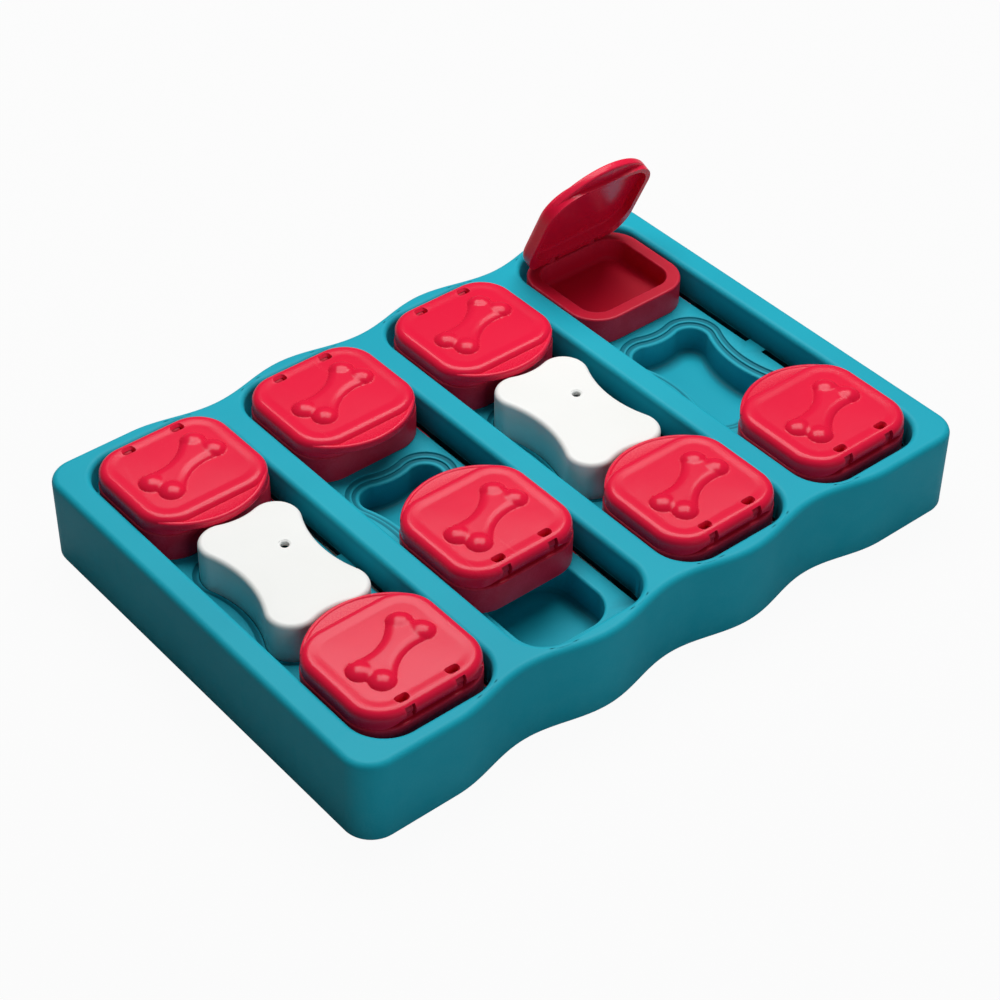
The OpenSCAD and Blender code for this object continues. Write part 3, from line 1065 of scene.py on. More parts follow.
@dataclass(frozen=True)
class DrawnSteel:
    """Bright drawn wire with fine lines along its length."""

    name: str
    base: Colour
    dull: Colour
    roughness: float = 0.28
    line_size: float = 0.25
    line_stretch: float = 0.04
    line_depth: float = 0.01
    line_roughness: float = 0.15
    dust: float = 0.5
    dust_roughness: float = 0.2

    def make(self, effects: Effects) -> bpy.types.Material:
        """Builds the material.

        Args:
            effects: The shared effects.

        Returns:
            The material.
        """
        material, sheet, shader = new_material(self.name)
        place = sheet.coordinates()
        drawn = sheet.add("Mapping", {"Vector": place, "Scale": (self.line_stretch, 1.0, 1.0)})
        lines = sheet.noise(drawn.outputs[0], self.line_size)
        dust = effects.dust_and_shade.use(sheet, place, Amount=self.dust, Film=self.dust)
        tone = sheet.blend(sheet.ramp(lines, *SOFT), self.base, self.dull)
        spread = sheet.ramp(lines, *SOFT, to_high=self.line_roughness)
        rough = sheet.maths("ADD", spread, self.roughness)
        rough = sheet.maths("ADD", rough, sheet.product(dust.outputs["Mask"], self.dust_roughness))
        sheet.feed(shader, {"Base Color": tone, "Roughness": rough, "Metallic": 1.0,
                            "Normal": sheet.relief(lines, self.line_depth)})
        return material


@dataclass(frozen=True)
class Palette:
    """Every material of the toy."""

    tray: bpy.types.Material
    box: bpy.types.Material
    lid: bpy.types.Material
    bone: bpy.types.Material
    foot: bpy.types.Material
    pin: bpy.types.Material


def make_palette() -> Palette:
    """Builds the materials from their finishes.

    Returns:
        The materials.
    """
    effects = Effects()
    return Palette(
        # The tray's corner and slot colours are painted shade for its inner corners and its slots.
        tray=MouldedPlastic("tray_teal", base=srgb(26, 170, 191), deep=srgb(16, 150, 172),
                            rubbed=srgb(80, 192, 208), roughness=0.45, specular=0.12,
                            painted_corner_shade=srgb(8, 78, 94), painted_slot_shade=srgb(4, 20, 25)).make(effects),
        box=MouldedPlastic("box_red", base=srgb(204, 20, 50), deep=srgb(182, 13, 40),
                           rubbed=srgb(238, 76, 104), roughness=0.34, specular=0.3).make(effects),
        lid=MouldedPlastic("lid_red", base=srgb(236, 26, 64), deep=srgb(220, 20, 56),
                           rubbed=srgb(246, 84, 110), roughness=0.23, pit_depth=0.004,
                           specular=0.24, rub=0.2).make(effects),
        bone=MouldedPlastic("bone_white", base=srgb(243, 243, 240), deep=srgb(232, 232, 227),
                            rubbed=srgb(249, 249, 247), roughness=0.4, specular=0.35).make(effects),
        foot=SoftRubber("foot_black", base=srgb(34, 36, 38), dusty=srgb(92, 92, 90)).make(effects),
        pin=DrawnSteel("pin_bright", base=srgb(205, 207, 210), dull=srgb(160, 163, 168)).make(effects))


# ------------------------------------------------------------------ tray


@dataclass(frozen=True)
class Tray:
    """The moulded tray: a skirt, a top with four openings and a trough under each."""

    length: float = 320.0
    width: float = 221.0
    height: float = 41.0
    wave: float = 6.4
    corner: float = 13.0
    edge: float = 3.0
    wall: float = 2.5
    skirt_gap: float = 0.8
    skirt_edge: float = 0.6
    channel_w: float = 64.0
    channel_l: float = 205.0
    pitch: float = PITCH
    channel_r: float = 17.0
    channel_edge: float = 2.5
    floor_z: float = 26.0
    floor_t: float = 3.0
    recess_z: float = 11.0
    recess_w: float = 42.0
    recess_l: float = 43.0
    recess_r: float = 14.0
    recess_gap: float = 11.5
    recess_edge: float = 1.3
    recess_foot: float = 2.0
    seat_depth: float = 1.8
    seat_margin: float = 3.0
    seat_lap: float = 3.0
    seat_edge: float = 0.5
    seat_foot: float = 0.3
    lap_edge: float = 1.0
    ledge_rise: float = 0.9
    ledge_gap: float = 0.3
    ledge_edge: float = 0.4
    bone_turn: float = BONE_TURN
    slot_w: float = 3.0
    slot_start: float = 5.0
    slot_end: float = 91.5
    slot_gap: float = 0.15
    chamfer: float = 0.8
    boss_r: float = 12.0
    boss_h: float = 12.0
    boss_edge: float = 0.4
    boss_top: float = 0.5
    foot_top: float = 2.2
    stud_r: float = 2.55
    stud_room: float = 4.2
    bone: BoneShape = BoneShape(**BONE_SIZES)

    @property
    def corner_place(self) -> tuple[float, float]:
        """The middle of the corner round at +X and +Y, where a foot stands too."""
        return self.length / 2 - self.corner, self.width / 2 - self.corner

    def rim_outline(self) -> Outline:
        """The wavy outline: y = w / 2 - d / 2 (1 + cos(2 pi x / pitch)) between round corners.

        Returns:
            The closed outline.
        """
        x, y = self.corner_place
        side, last = self.width / 2, 1.5 * self.pitch
        across = np.linspace(last, -last, 97)
        phase = 2 * np.pi * across / self.pitch
        along = side - self.wave / 2 * (1 + np.cos(phase))
        slope = self.wave * np.pi / self.pitch * np.sin(phase)
        normals = np.column_stack([-slope, np.ones_like(slope)]) / np.hypot(slope, 1)[:, None]
        half = joined(
            arc((x, y), self.corner, 0, 90, 14),
            straight((x, side), (last, side), 4),
            Outline(np.column_stack([across, along]), normals),
            straight((-last, side), (-x, side), 4),
            arc((-x, y), self.corner, 90, 180, 14))
        return joined(half, half.placed(0, 0, 180))

    def channel_outline(self, x: float) -> Outline:
        """The outline of the channel whose middle stands at x."""
        half = self.channel_l / 2
        return rounded_rect(self.channel_w / 2, -half, half, self.channel_r, 18, 6, 16).placed(x, 0)

    def recess_outlines(self, x: float) -> list[Outline]:
        """The outlines of the two recesses under the boxes of a channel.

        Args:
            x: The middle of the channel.

        Returns:
            The far recess and the near one.
        """
        high = self.channel_l / 2 - self.recess_gap
        far = rounded_rect(self.recess_w / 2, high - self.recess_l, high, self.recess_r, 16, 4, 5)
        return [far.placed(x, 0), far.placed(x, 0, 180)]

    def slot_outlines(self, x: float) -> list[Outline]:
        """The outlines of a channel's four slots; their outer side follows the channel's wall.

        Args:
            x: The middle of the channel.

        Returns:
            The four outlines.
        """
        outer = self.channel_w / 2 - self.slot_gap
        inner = self.channel_w / 2 - self.slot_w
        radius = self.channel_r - self.slot_gap
        bend_x, bend_y = self.channel_w / 2 - self.channel_r, self.channel_l / 2 - self.channel_r
        turn = np.degrees(np.arcsin((self.slot_end - bend_y) / radius))
        loop = joined(
            straight((inner, self.slot_start), (outer, self.slot_start), 1),
            straight((outer, self.slot_start), (outer, bend_y), 12),
            arc((bend_x, bend_y), radius, 0, turn, 5),
            straight((inner, self.slot_end), (inner, self.slot_start), 12))
        quarters = [loop.mirrored(sx, sy) for sx in (1, -1) for sy in (1, -1)]
        return [quarter.placed(x, 0) for quarter in quarters]

    def seat_rows(self) -> list[tuple[float, float]]:
        """The profile from the floor over the two ledges of a bone's seat into its recess.

        Returns:
            The (inset, z) rows, downwards.
        """
        seat_z = self.floor_z - self.seat_depth
        ledge_z = seat_z + self.ledge_rise
        return (mouth(-self.seat_margin, self.floor_z, self.seat_edge, 4)
                + hollow_round(-self.seat_margin, ledge_z, self.ledge_edge, 3)
                + mouth(-self.ledge_gap, ledge_z, self.ledge_edge, 4)
                + hollow_round(-self.ledge_gap, seat_z, self.seat_foot, 3)
                + mouth(self.seat_lap, seat_z, self.lap_edge, 5)
                + hollow_round(self.seat_lap, self.recess_z, self.recess_foot, 6))

    def add_cup(self, skin: Skin, outline: Outline, inset: float) -> None:
        """Adds the outer side of a recess, from its underside up to the floor's.

        Args:
            skin: The tray's surface.
            outline: The outline that the recess follows.
            inset: The inset of the cup's wall from it.
        """
        low, under = self.recess_z - self.wall, self.floor_z - self.floor_t
        skin.disc(outline, inset + self.chamfer, low, 3, upwards=False)
        skin.rise(outline, [(inset + self.chamfer, low), (inset, low + self.chamfer), (inset, under)])

    def add_trough(self, skin: Skin, x: float) -> None:
        """Adds the channel at x with its recesses, slots and outer side.

        Args:
            skin: The tray's surface.
            x: The middle of the channel.
        """
        channel, recesses = self.channel_outline(x), self.recess_outlines(x)
        slots, bone = self.slot_outlines(x), self.bone.outline().placed(x, 0, self.bone_turn)
        skin.rise(channel, mouth(0, self.height, self.channel_edge, 8) + [(0, self.floor_z)])
        walls = mouth(0, self.floor_z, self.recess_edge, 5)
        walls += hollow_round(0, self.recess_z, self.recess_foot, 6)
        for recess in recesses:
            skin.rise(recess, walls)
            skin.disc(recess, self.recess_foot, self.recess_z, 4, upwards=True)
        seat = self.seat_rows()
        skin.rise(bone, seat)
        skin.disc(bone, self.seat_lap + self.recess_foot, self.recess_z, 5, upwards=True)
        through = [slot.inset(0) for slot in slots]
        holes = [recess.inset(walls[0][0]) for recess in recesses] + [bone.inset(seat[0][0])]
        skin.cap(self.floor_z, channel.inset(0), holes + through, upwards=True)
        under = self.floor_z - self.floor_t
        for slot in slots:
            skin.rise(slot, [(0, self.floor_z), (0, under)])
        cups = []
        for outline, lap in ((recesses[0], 0), (recesses[1], 0), (bone, self.seat_lap)):
            self.add_cup(skin, outline, lap - self.wall)
            cups.append(outline.inset(lap - self.wall))
        skin.cap(under, channel.inset(self.chamfer - self.wall), cups + through, upwards=False)
        skin.rise(channel, [(self.chamfer - self.wall, under), (-self.wall, under + self.chamfer),
                            (-self.wall, self.height - self.wall)])

    def add_bosses(self, skin: Skin) -> None:
        """Adds the four bosses that hold the feet's studs.

        Args:
            skin: The tray's surface.
        """
        circle = joined(arc((0, 0), self.boss_r, 0, 360, 48))
        hole, foot, top = self.boss_r - self.stud_r, self.foot_top, self.foot_top + self.boss_h
        rows = [(hole, foot + self.stud_room), (hole, foot), (self.boss_edge, foot),
                (0, foot + self.boss_edge), (0, top - self.boss_top), (self.boss_top, top)]
        for at in four_corners(*self.corner_place):
            boss = circle.placed(*at)
            skin.disc(boss, hole, foot + self.stud_room, 2, upwards=False)
            skin.rise(boss, rows)
            skin.disc(boss, self.boss_top, top, 2, upwards=True)

    def build(self) -> Skin:
        """Builds the whole tray.

        Returns:
            Its surface.
        """
        skin = Skin()
        rim, low, plate = self.rim_outline(), self.skirt_gap, self.height - self.wall
        bend = BEND * self.chamfer
        skirt = [(self.wall, plate), (self.wall, low + self.skirt_edge), (self.wall - self.skirt_edge, low),
                 (self.chamfer, low), (bend, low + bend), (0, low + self.chamfer)]
        top = round_over(0, self.height, self.edge, 10)
        skin.rise(rim, skirt + top)
        places = [(number - 1.5) * self.pitch for number in range(4)]
        openings = [self.channel_outline(x) for x in places]
        flare = mouth(0, self.height, self.channel_edge, 1)[0][0]
        skin.cap(self.height, rim.inset(top[-1][0]), [hole.inset(flare) for hole in openings], upwards=True)
        skin.cap(plate, rim.inset(self.wall), [hole.inset(-self.wall) for hole in openings], upwards=False)
        for x in places:
            self.add_trough(skin, x)
        self.add_bosses(skin)
        return skin

    def dress(self, palette: Palette) -> None:
        """Makes the tray in place of its CAD nodes."""
        nodes = [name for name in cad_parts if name.startswith(("base_tray", "channel_trough"))]
        make_piece("tray_moulding", self.build(), palette.tray, Slot.TRAY, "tray", *nodes)


@dataclass(frozen=True)
class Feet:
    """Round rubber feet with grip rings and a stud each."""

    radius: float = 9.5
    thickness: float = 2.2
    stud_r: float = 2.5
    stud_l: float = 4.0
    edge: float = 0.4
    tread: float = 0.6
    rings: tuple[float, float] = (4.4, 2.4)
    ring_w: float = 0.5
    ring_foot: float = 0.3
    ring_depth: float = 0.5
    stud_edge: float = 0.5
    x: float = 147.0
    y: float = 97.5

    def build(self) -> Skin:
        """Builds the four feet: a pad with two round grooves below and a stud above.

        Returns:
            Their surface.
        """
        skin = Skin()
        circle = joined(arc((0, 0), self.radius, 0, 360, 64))
        rows = []
        for inset in self.rings:
            rows += [(inset + self.ring_w, 0), (inset + self.ring_foot, self.ring_depth),
                     (inset - self.ring_foot, self.ring_depth), (inset - self.ring_w, 0)]
        neck, bend = self.radius - self.stud_r, BEND * self.tread
        top = self.thickness + self.stud_l
        rows += [(self.tread, 0), (bend, bend), (0, self.tread), (0, self.thickness - self.edge),
                 (self.edge, self.thickness), (neck, self.thickness), (neck, top - self.stud_edge),
                 (neck + self.stud_edge, top)]
        skin.disc(circle, *rows[0], 3, upwards=False)
        skin.rise(circle, rows)
        skin.disc(circle, *rows[-1], 2, upwards=True)
        feet = Skin()
        for at in four_corners(self.x, self.y):
            feet.add(skin.moved(lambda points, at=at: points + (*at, 0.0)))
        return feet

    def dress(self, palette: Palette) -> None:
        """Makes the feet in place of their CAD node."""
        make_piece("grip_feet", self.build(), palette.foot, Slot.FOOT, "tray", "rubber_feet")


# ------------------------------------------------------------------ boxes and lids


@dataclass(frozen=True)
class Block:
    """Where one box with its lid and hinge pin stands, read from the frame."""

    channel: int
    side: Side

    @property
    def name(self) -> str:
        """The ending that the block's nodes share."""
        return f"{self.channel}_{self.side.name.lower()}"

    def stand(self, points: np.ndarray) -> np.ndarray:
        """Takes points from the block's own frame, Y outwards along the channel, to the toy's.

        Args:
            points: The points (N, 3) in the block's frame.

        Returns:
            The points in the toy's frame.
        """
        low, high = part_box(f"box_{self.name}")
        middle = (np.array(low) + np.array(high)) / 2 / MM
        turn = self.side.value
        return points * (turn, turn, 1) + (middle[0], middle[1], 0)


@dataclass(frozen=True)
class Box:
    """A box with a broad flat rim, cored from below, with ears for the pin and two runners."""

    width: float = 62.0
    length: float = 56.0
    corner: float = 16.0
    low: float = 26.2
    top: float = 39.5
    rim: float = 6.5
    wall: float = 2.0
    floor_t: float = 2.5
    core_top_t: float = 2.2
    edge: float = 0.9
    bevel: float = 0.3
    cavity_edge: float = 0.8
    cavity_foot: float = 2.5
    ear_x: float = 12.0
    ear_w: float = 4.0
    ear_r: float = 2.4
    ear_root: float = 1.8
    ear_sunk: float = 0.6
    ear_edge: float = 0.4
    hinge_y: float = 24.2
    hinge_z: float = 43.5
    neck_x: float = 29.4
    neck_y: float = 13.0
    neck_lap: float = 1.0
    runner_front: float = -27.5
    runner_back: float = 21.0
    runner_low: float = 20.4
    runner_top: float = 24.4
    runner_r: float = 0.8
    hook_x: float = 26.2
    hook_t: float = 2.2

    def outline(self) -> Outline:
        """The box seen from above."""
        half = self.length / 2
        return rounded_rect(self.width / 2, -half, half, self.corner, 16, 8, 7)

    def add_body(self, skin: Skin) -> None:
        """Adds the body as one profile, from the middle of its underside to its inner floor.

        Args:
            skin: The box's surface.
        """
        outline, low, bevel = self.outline(), self.low, self.bevel
        core, ceiling = self.rim - self.wall, self.top - self.core_top_t
        floor = low + self.floor_t
        rows = [(core + bevel, low), (core, low + bevel), (core, ceiling), (self.wall, ceiling),
                (self.wall, low + bevel), (self.wall - bevel, low), (bevel, low), (0, low + bevel)]
        rows += round_over(0, self.top, self.edge, 5)
        rows += mouth(self.rim, self.top, self.cavity_edge, 5)
        rows += hollow_round(self.rim, floor, self.cavity_foot, 6)
        skin.disc(outline, *rows[0], 4, upwards=False)
        skin.rise(outline, rows)
        skin.disc(outline, self.rim + self.cavity_foot, floor, 5, upwards=True)

    def add_ears(self, skin: Skin) -> None:
        """Adds the two ears: a round head about the pin on a straight root, edges rounded.

        Args:
            skin: The box's surface.
        """
        reach = np.sqrt(self.ear_r**2 - self.ear_root**2)
        start = np.degrees(np.arctan2(-reach, self.ear_root))
        head = arc((0, 0), self.ear_r, start, 180 - start, 28)
        root = self.top - self.hinge_z - self.ear_sunk
        loop = joined(head, straight((-self.ear_root, root), (self.ear_root, root), 4))
        half, edge, bend = self.ear_w / 2, self.ear_edge, BEND * self.ear_edge
        rows = [(edge, -half), (bend, bend - half), (0, edge - half)]
        rows += [(d, -x) for d, x in reversed(rows)]
        count = len(loop.points)
        rings = [np.column_stack([np.full(count, x), loop.inset(d)]) for d, x in rows]
        ends = [np.tile((x, 0.0, 0.0), (count, 1)) for x in (-half, half)]
        for x in (-self.ear_x, self.ear_x):
            skin.grid(np.stack([ends[0], *rings, ends[1]]) + (x, self.hinge_y, self.hinge_z))

    def add_runners(self, skin: Skin) -> None:
        """Adds the runners: a neck, a rail and the hook that reaches under the channel floor.

        Args:
            skin: The box's surface.
        """
        low, front, back = self.runner_low, self.runner_front, self.runner_back
        blocks = (
            (self.neck_x, -self.neck_y, self.neck_y, self.low + self.neck_lap, 0.3),
            (self.neck_x, front, back, self.runner_top, 0.4),
            (self.hook_x, front, back, low + self.hook_t, 0.5))
        for inner, y0, y1, top, soft in blocks:
            half = (self.width / 2 - inner) / 2
            loop = rounded_rect(half, y0, y1, min(half, self.runner_r), 6, 1, 6)
            rows = [(soft, low), (0, low + soft)] + round_over(0, top, soft, 3)
            for side in (-1, 1):
                at = loop.placed(side * (inner + half), 0)
                skin.disc(at, *rows[0], 1, upwards=False)
                skin.rise(at, rows)
                skin.disc(at, *rows[-1], 1, upwards=True)

    def build(self) -> Skin:
        """Builds one box in its own frame.

        Returns:
            Its surface.
        """
        skin = Skin()
        self.add_body(skin)
        self.add_ears(skin)
        self.add_runners(skin)
        return skin

    def dress(self, blocks: Sequence[Block], palette: Palette) -> None:
        """Makes each box in place of its CAD node.

        Args:
            blocks: The blocks to furnish.
            palette: The materials.
        """
        skin = self.build()
        for block in blocks:
            make_piece(f"box_shell_{block.name}", skin.moved(block.stand), palette.box, Slot.BOX,
                       f"sliding_box_{block.name}", f"box_{block.name}")


# The steps in each bend, along X and along Y, shared by a lid's outline and its hollow.
LID_STEPS = (36, 32, 28)
PANEL_RINGS = 88
# How far a cutter reaches past the surface that it opens.
BEYOND = 1.0


@dataclass(frozen=True)
class Lid:
    """A hollow lid: rolled edge, sunk panel with a bone in relief, finger tongue and hinge end."""

    width: float = 61.0
    length: float = 56.0
    corner: float = 16.0
    low: float = 39.7
    height: float = 7.6
    wall: float = 2.5
    bead: float = 6.0
    slope: float = 4.2
    panel_depth: float = 0.25
    crown: float = 0.15
    hinge_y: float = 24.2
    hinge_z: float = 43.5
    hinge_body: float = 3.8
    cavity_edge: float = 1.5
    tongue_reach: float = 7.0
    tongue_low: float = 41.8
    tongue_t: float = 3.4
    tongue_under: float = 1.0
    lip_r: float = 1.1
    lip_w: float = 1.2
    lip_h: float = 0.5
    relief: BoneShape = BoneShape(length=42.0, width=21.0, waist=11.5, dip=2.0, lobe=5.6, steps=40)
    relief_turn: float = -67.0
    relief_lobe_h: float = 2.6
    relief_shaft_h: float = 1.7
    relief_soft: float = 4.5
    relief_steep: float = 0.35
    relief_join: float = 6.0
    ear_x: float = 12.0
    ear_gap: float = 4.6
    ear_clear: float = 2.7
    ear_root: float = 2.1
    swing: float = 105.0
    swing_spare: float = 12.0
    window_w: float = 5.5
    window_l: float = 2.5
    window_y: float = 21.7
    window_r: float = 1.1
    window_ramp: float = 1.3
    window_flare: float = 0.5
    window_narrow: float = 0.1
    window_mouth: float = 1.6
    window_past: float = 0.4
    pin_r: float = 1.0
    pin_end: float = -17.5
    open_angle: float = 66.0

    @property
    def top(self) -> float:
        """The height of the rolled edge."""
        return self.low + self.height

    @property
    def roll(self) -> float:
        """The radius of the rolled edge, half of the lid's height."""
        return self.height / 2

    def outline(self) -> Outline:
        """The lid seen from above."""
        half = self.length / 2
        return rounded_rect(self.width / 2, -half, half, self.corner, *LID_STEPS)

    def cavity(self) -> Outline:
        """The hollow below, point for point beside the outline.

        Returns:
            The closed outline.
        """
        half = self.width / 2 - self.wall
        return rounded_rect(half, self.wall - self.length / 2, self.hinge_y - self.hinge_body,
                            self.corner - self.wall, *LID_STEPS)

    def foot(self, flat: np.ndarray) -> np.ndarray:
        """Height of the underside: flat, and behind the pin the half round about the pin."""
        behind = np.clip(flat[:, 1] - self.hinge_y, 0, self.roll)
        return self.hinge_z - np.sqrt(self.roll**2 - behind**2)

    def puff(self, share: np.ndarray) -> np.ndarray:
        """A round section from 0 at the foot (share 0) to 1 at the crest (share 1).

        It is the upper part of a circle: (sqrt(1 + s - (1 - share)^2) - sqrt(s)) / (sqrt(1 + s)
        - sqrt(s)), where s keeps the foot from standing upright.

        Args:
            share: How far each point is from the foot to the crest.

        Returns:
            The share of the full height.
        """
        low = np.sqrt(self.relief_steep)
        high = np.sqrt(1 + self.relief_steep)
        fall = (1 - np.clip(share, 0, 1))**2
        return (np.sqrt(1 + self.relief_steep - fall) - low) / (high - low)

    def relief_height(self, flat: np.ndarray) -> np.ndarray:
        """Height of the bone over the panel.

        Two forms are joined: a round section over the distance inside the bone's outline, and a
        ball at each of the four lobes. The joint is (a^n + b^n)^(1/n), a maximum without a crease.

        Args:
            flat: The points (N, 2) seen from above.

        Returns:
            The height at each point.
        """
        outline = self.relief.outline().placed(0, 0, self.relief_turn)
        gap = flat[:, None, :] - outline.points[None, :, :]
        nearest = np.argmin(np.einsum("ijk,ijk->ij", gap, gap), axis=1)
        depth = -np.einsum("ij,ij->i", flat - outline.points[nearest], outline.normals[nearest])
        shaft = self.relief_shaft_h * self.puff(depth / self.relief_soft)
        turn = np.radians(self.relief_turn)
        upright = np.abs(flat @ np.array([[np.cos(turn), -np.sin(turn)], [np.sin(turn), np.cos(turn)]]))
        lobe = (self.relief.width / 2 - self.relief.lobe, self.relief.length / 2 - self.relief.lobe)
        away = np.linalg.norm(upright - lobe, axis=1) / self.relief.lobe
        ball = self.relief_lobe_h * self.puff(1 - away)
        return (shaft**self.relief_join + ball**self.relief_join) ** (1 / self.relief_join)

    def add_panel(self, skin: Skin, outline: Outline) -> None:
        """Adds the sunk panel: rings that shrink onto the middle, with a low crown and the bone.

        Args:
            skin: The lid's surface.
            outline: The lid's outline.
        """
        ring = outline.inset(self.bead + self.slope / 2)
        shrink = np.linspace(0, 1, PANEL_RINGS + 1)[:, None, None]
        rings = ring[None] * (1 - shrink)
        flat = rings.reshape(-1, 2)
        dome = self.crown * (1 - (1 - shrink[:, 0, 0])**2)
        z = self.top - self.panel_depth + np.repeat(dome, len(ring)) + self.relief_height(flat)
        skin.grid(level(flat, z).reshape(len(rings), len(ring), 3))

    def add_shell(self, skin: Skin) -> None:
        """Adds the hollow, the underside, the rolled edge and the slope down to the panel.

        Args:
            skin: The lid's surface.
        """
        outline, cavity = self.outline(), self.cavity()
        inner_edge, outer_edge = cavity.points, outline.points
        ceiling = self.top - self.panel_depth - self.wall
        inner = ceiling_round(0, ceiling, self.cavity_edge, 5)
        skin.disc(cavity, self.cavity_edge, ceiling, 6, upwards=False)
        skin.rise(cavity, inner)
        loops = [level(inner_edge, inner[-1][1])]
        for share in np.linspace(0, 1, 9):
            flat = inner_edge + (outer_edge - inner_edge) * share
            loops.append(level(flat, self.foot(flat)))
        edge_foot = self.foot(outer_edge)
        for share in (0.1, 0.4, 0.7, 1.0):
            loops.append(level(outer_edge, edge_foot + (self.hinge_z - edge_foot) * share))
        skin.grid(np.stack(loops))
        crest = self.bead - self.slope / 2
        rows = round_over(0, self.top, self.roll, 14)[:-1] + [(crest, self.top)]
        fall = np.linspace(0, 1, 9)[1:]
        rows += [(crest + self.slope * t, self.top - self.panel_depth * ease(t)) for t in fall]
        skin.rise(outline, rows)

    def tongue_skin(self) -> Skin:
        """The tongue: a segment of the circle that touches both front corners of the lid.

        Its section runs from inside the lid's wall along the underside, round the outer edge,
        over the lip and back. It narrows to nothing at both points of touch.

        Returns:
            Its closed surface.
        """
        a, b = self.width / 2 - self.corner, self.length / 2 - self.corner
        centre = (a**2 + b**2 - (b + self.tongue_reach)**2) / (2 * self.tongue_reach)
        radius = self.length / 2 + self.tongue_reach + centre
        grow = radius / (radius - self.corner)
        half_angle = np.degrees(np.arctan2(a * grow, (b + centre) * grow))
        edge = arc((0, centre), radius, -90 - half_angle, -90 + half_angle, 72)
        lid_edge = self.outline()
        towards = np.arctan2(edge.points[:, 0], -(edge.points[:, 1] + b))
        from_lid = np.arctan2(lid_edge.points[:, 0], -(lid_edge.points[:, 1] + b))
        order = np.argsort(from_lid)
        mid_wall = lid_edge.inset(self.wall / 2)[order]
        inner = np.column_stack([np.interp(towards, from_lid[order], mid_wall[:, axis]) for axis in (0, 1)])
        span = edge.points - inner
        width = np.linalg.norm(span, axis=1, keepdims=True)
        low, soft, lip = self.tongue_low, self.tongue_under, self.lip_r
        top = low + self.tongue_t
        crest, root = top + self.lip_h, width.max()
        turn = quarter_turn(6)
        under = [(soft * (1 - s), low + soft * (1 - c)) for c, s in turn]
        over = [(lip * (1 - c), crest - lip * (1 - s)) for c, s in turn]
        fall = [(lip + self.lip_w * t, crest - self.lip_h * ease(t)) for t in np.linspace(0, 1, 6)[1:]]
        rows = []
        for depth, z in [(root, low), *under, *over, *fall, (root, top)]:
            rows.append(level(edge.points - span * np.minimum(depth / width, 1), z))
        skin = Skin()
        skin.grid(np.stack(rows), closed=False)
        skin.grid(np.stack([rows[-1], rows[0]]), closed=False)
        return skin

    def ear_cutter(self) -> np.ndarray:
        """The room that an ear needs as the lid swings: a circle about the pin and a swept strip.

        Returns:
            The closed loop of (y, z) points.
        """
        reach = np.sqrt(self.ear_clear**2 - self.ear_root**2)
        rest = np.degrees(np.arctan2(-reach, -self.ear_root)) % 360
        far = self.swing - 90
        open_edge = far + np.degrees(np.arctan2(self.ear_root, reach))
        outside = 3 * self.roll
        sweep = arc((0, 0), outside, -90 - self.swing_spare, far + self.swing_spare, 14)
        strip = np.array([[-self.ear_root, -outside]])
        loop = [arc((0, 0), self.ear_clear, open_edge, rest, 24).points, strip, sweep.points[1:]]
        return np.concatenate(loop) + (self.hinge_y, self.hinge_z)

    def ramped(self, loop: Outline, x: float) -> np.ndarray:
        """Widens a window's loop at the top, most of all towards the hinge.

        Args:
            loop: The window's outline.
            x: The window's middle.

        Returns:
            The widened loop.
        """
        back = np.clip((loop.points[:, 1] - self.window_y) / (self.window_l / 2), 0, 1)
        grown = loop.inset(-self.window_flare)
        return np.column_stack([x + (grown[:, 0] - x) * (1 - self.window_narrow * back),
                                grown[:, 1] + self.window_ramp * back])

    def cutters(self) -> list[Skin]:
        """The ear rooms, the windows over them and the hole that the pin goes in by.

        Returns:
            The closed surfaces to cut away.
        """
        tools = []
        half = self.window_l / 2
        mouth_z, past = self.top - self.window_mouth, self.top + self.window_past
        slot = rounded_rect(self.window_w / 2, -half, half, self.window_r, 6, 2, 1)
        for x in (-self.ear_x, self.ear_x):
            tools.append(prism(self.ear_cutter(), x - self.ear_gap / 2, x + self.ear_gap / 2))
            window, loop = Skin(), slot.placed(x, self.window_y)
            flared = self.ramped(loop, x)
            window.disc(loop, 0, self.hinge_z, 1, upwards=False)
            window.rise(loop, [(0, self.hinge_z), (0, mouth_z)])
            window.grid(np.stack([level(loop.points, mouth_z), level(flared, past)]))
            window.disc(Outline(flared, loop.normals), 0, past, 1, upwards=True)
            tools.append(window)
        hole = arc((self.hinge_y, self.hinge_z), self.pin_r, 0, 360, 24)
        tools.append(prism(joined(hole).points, -self.width / 2 - BEYOND, self.pin_end))
        return tools

    def build(self) -> Skin:
        """Builds one closed lid in the block's frame.

        Returns:
            Its surface.
        """
        shell = Skin()
        self.add_shell(shell)
        self.add_panel(shell, self.outline())
        lid = carve(shell, self.cutters())
        lid.add(self.tongue_skin())
        return lid

    def opened(self, points: np.ndarray) -> np.ndarray:
        """Turns points about the hinge pin by the angle at which the open lid stands.

        Args:
            points: The closed lid's points (N, 3).

        Returns:
            The open lid's points.
        """
        angle = np.radians(self.open_angle)
        y, z = points[:, 1] - self.hinge_y, points[:, 2] - self.hinge_z
        turned_y = y * np.cos(angle) + z * np.sin(angle)
        turned_z = z * np.cos(angle) - y * np.sin(angle)
        return np.column_stack([points[:, 0], turned_y + self.hinge_y, turned_z + self.hinge_z])

    def dress(self, blocks: Sequence[Block], open_block: Block, palette: Palette) -> None:
        """Makes each lid in place of its CAD node.

        Args:
            blocks: The blocks to furnish.
            open_block: The block whose lid stands open.
            palette: The materials.
        """
        closed = self.build()
        raised = closed.moved(self.opened)
        for block in blocks:
            skin = raised if block == open_block else closed
            make_piece(f"lid_shell_{block.name}", skin.moved(block.stand), palette.lid, Slot.LID,
                       f"hinged_lid_{block.name}", f"lid_{block.name}")


# ------------------------------------------------------------------ bones and pins


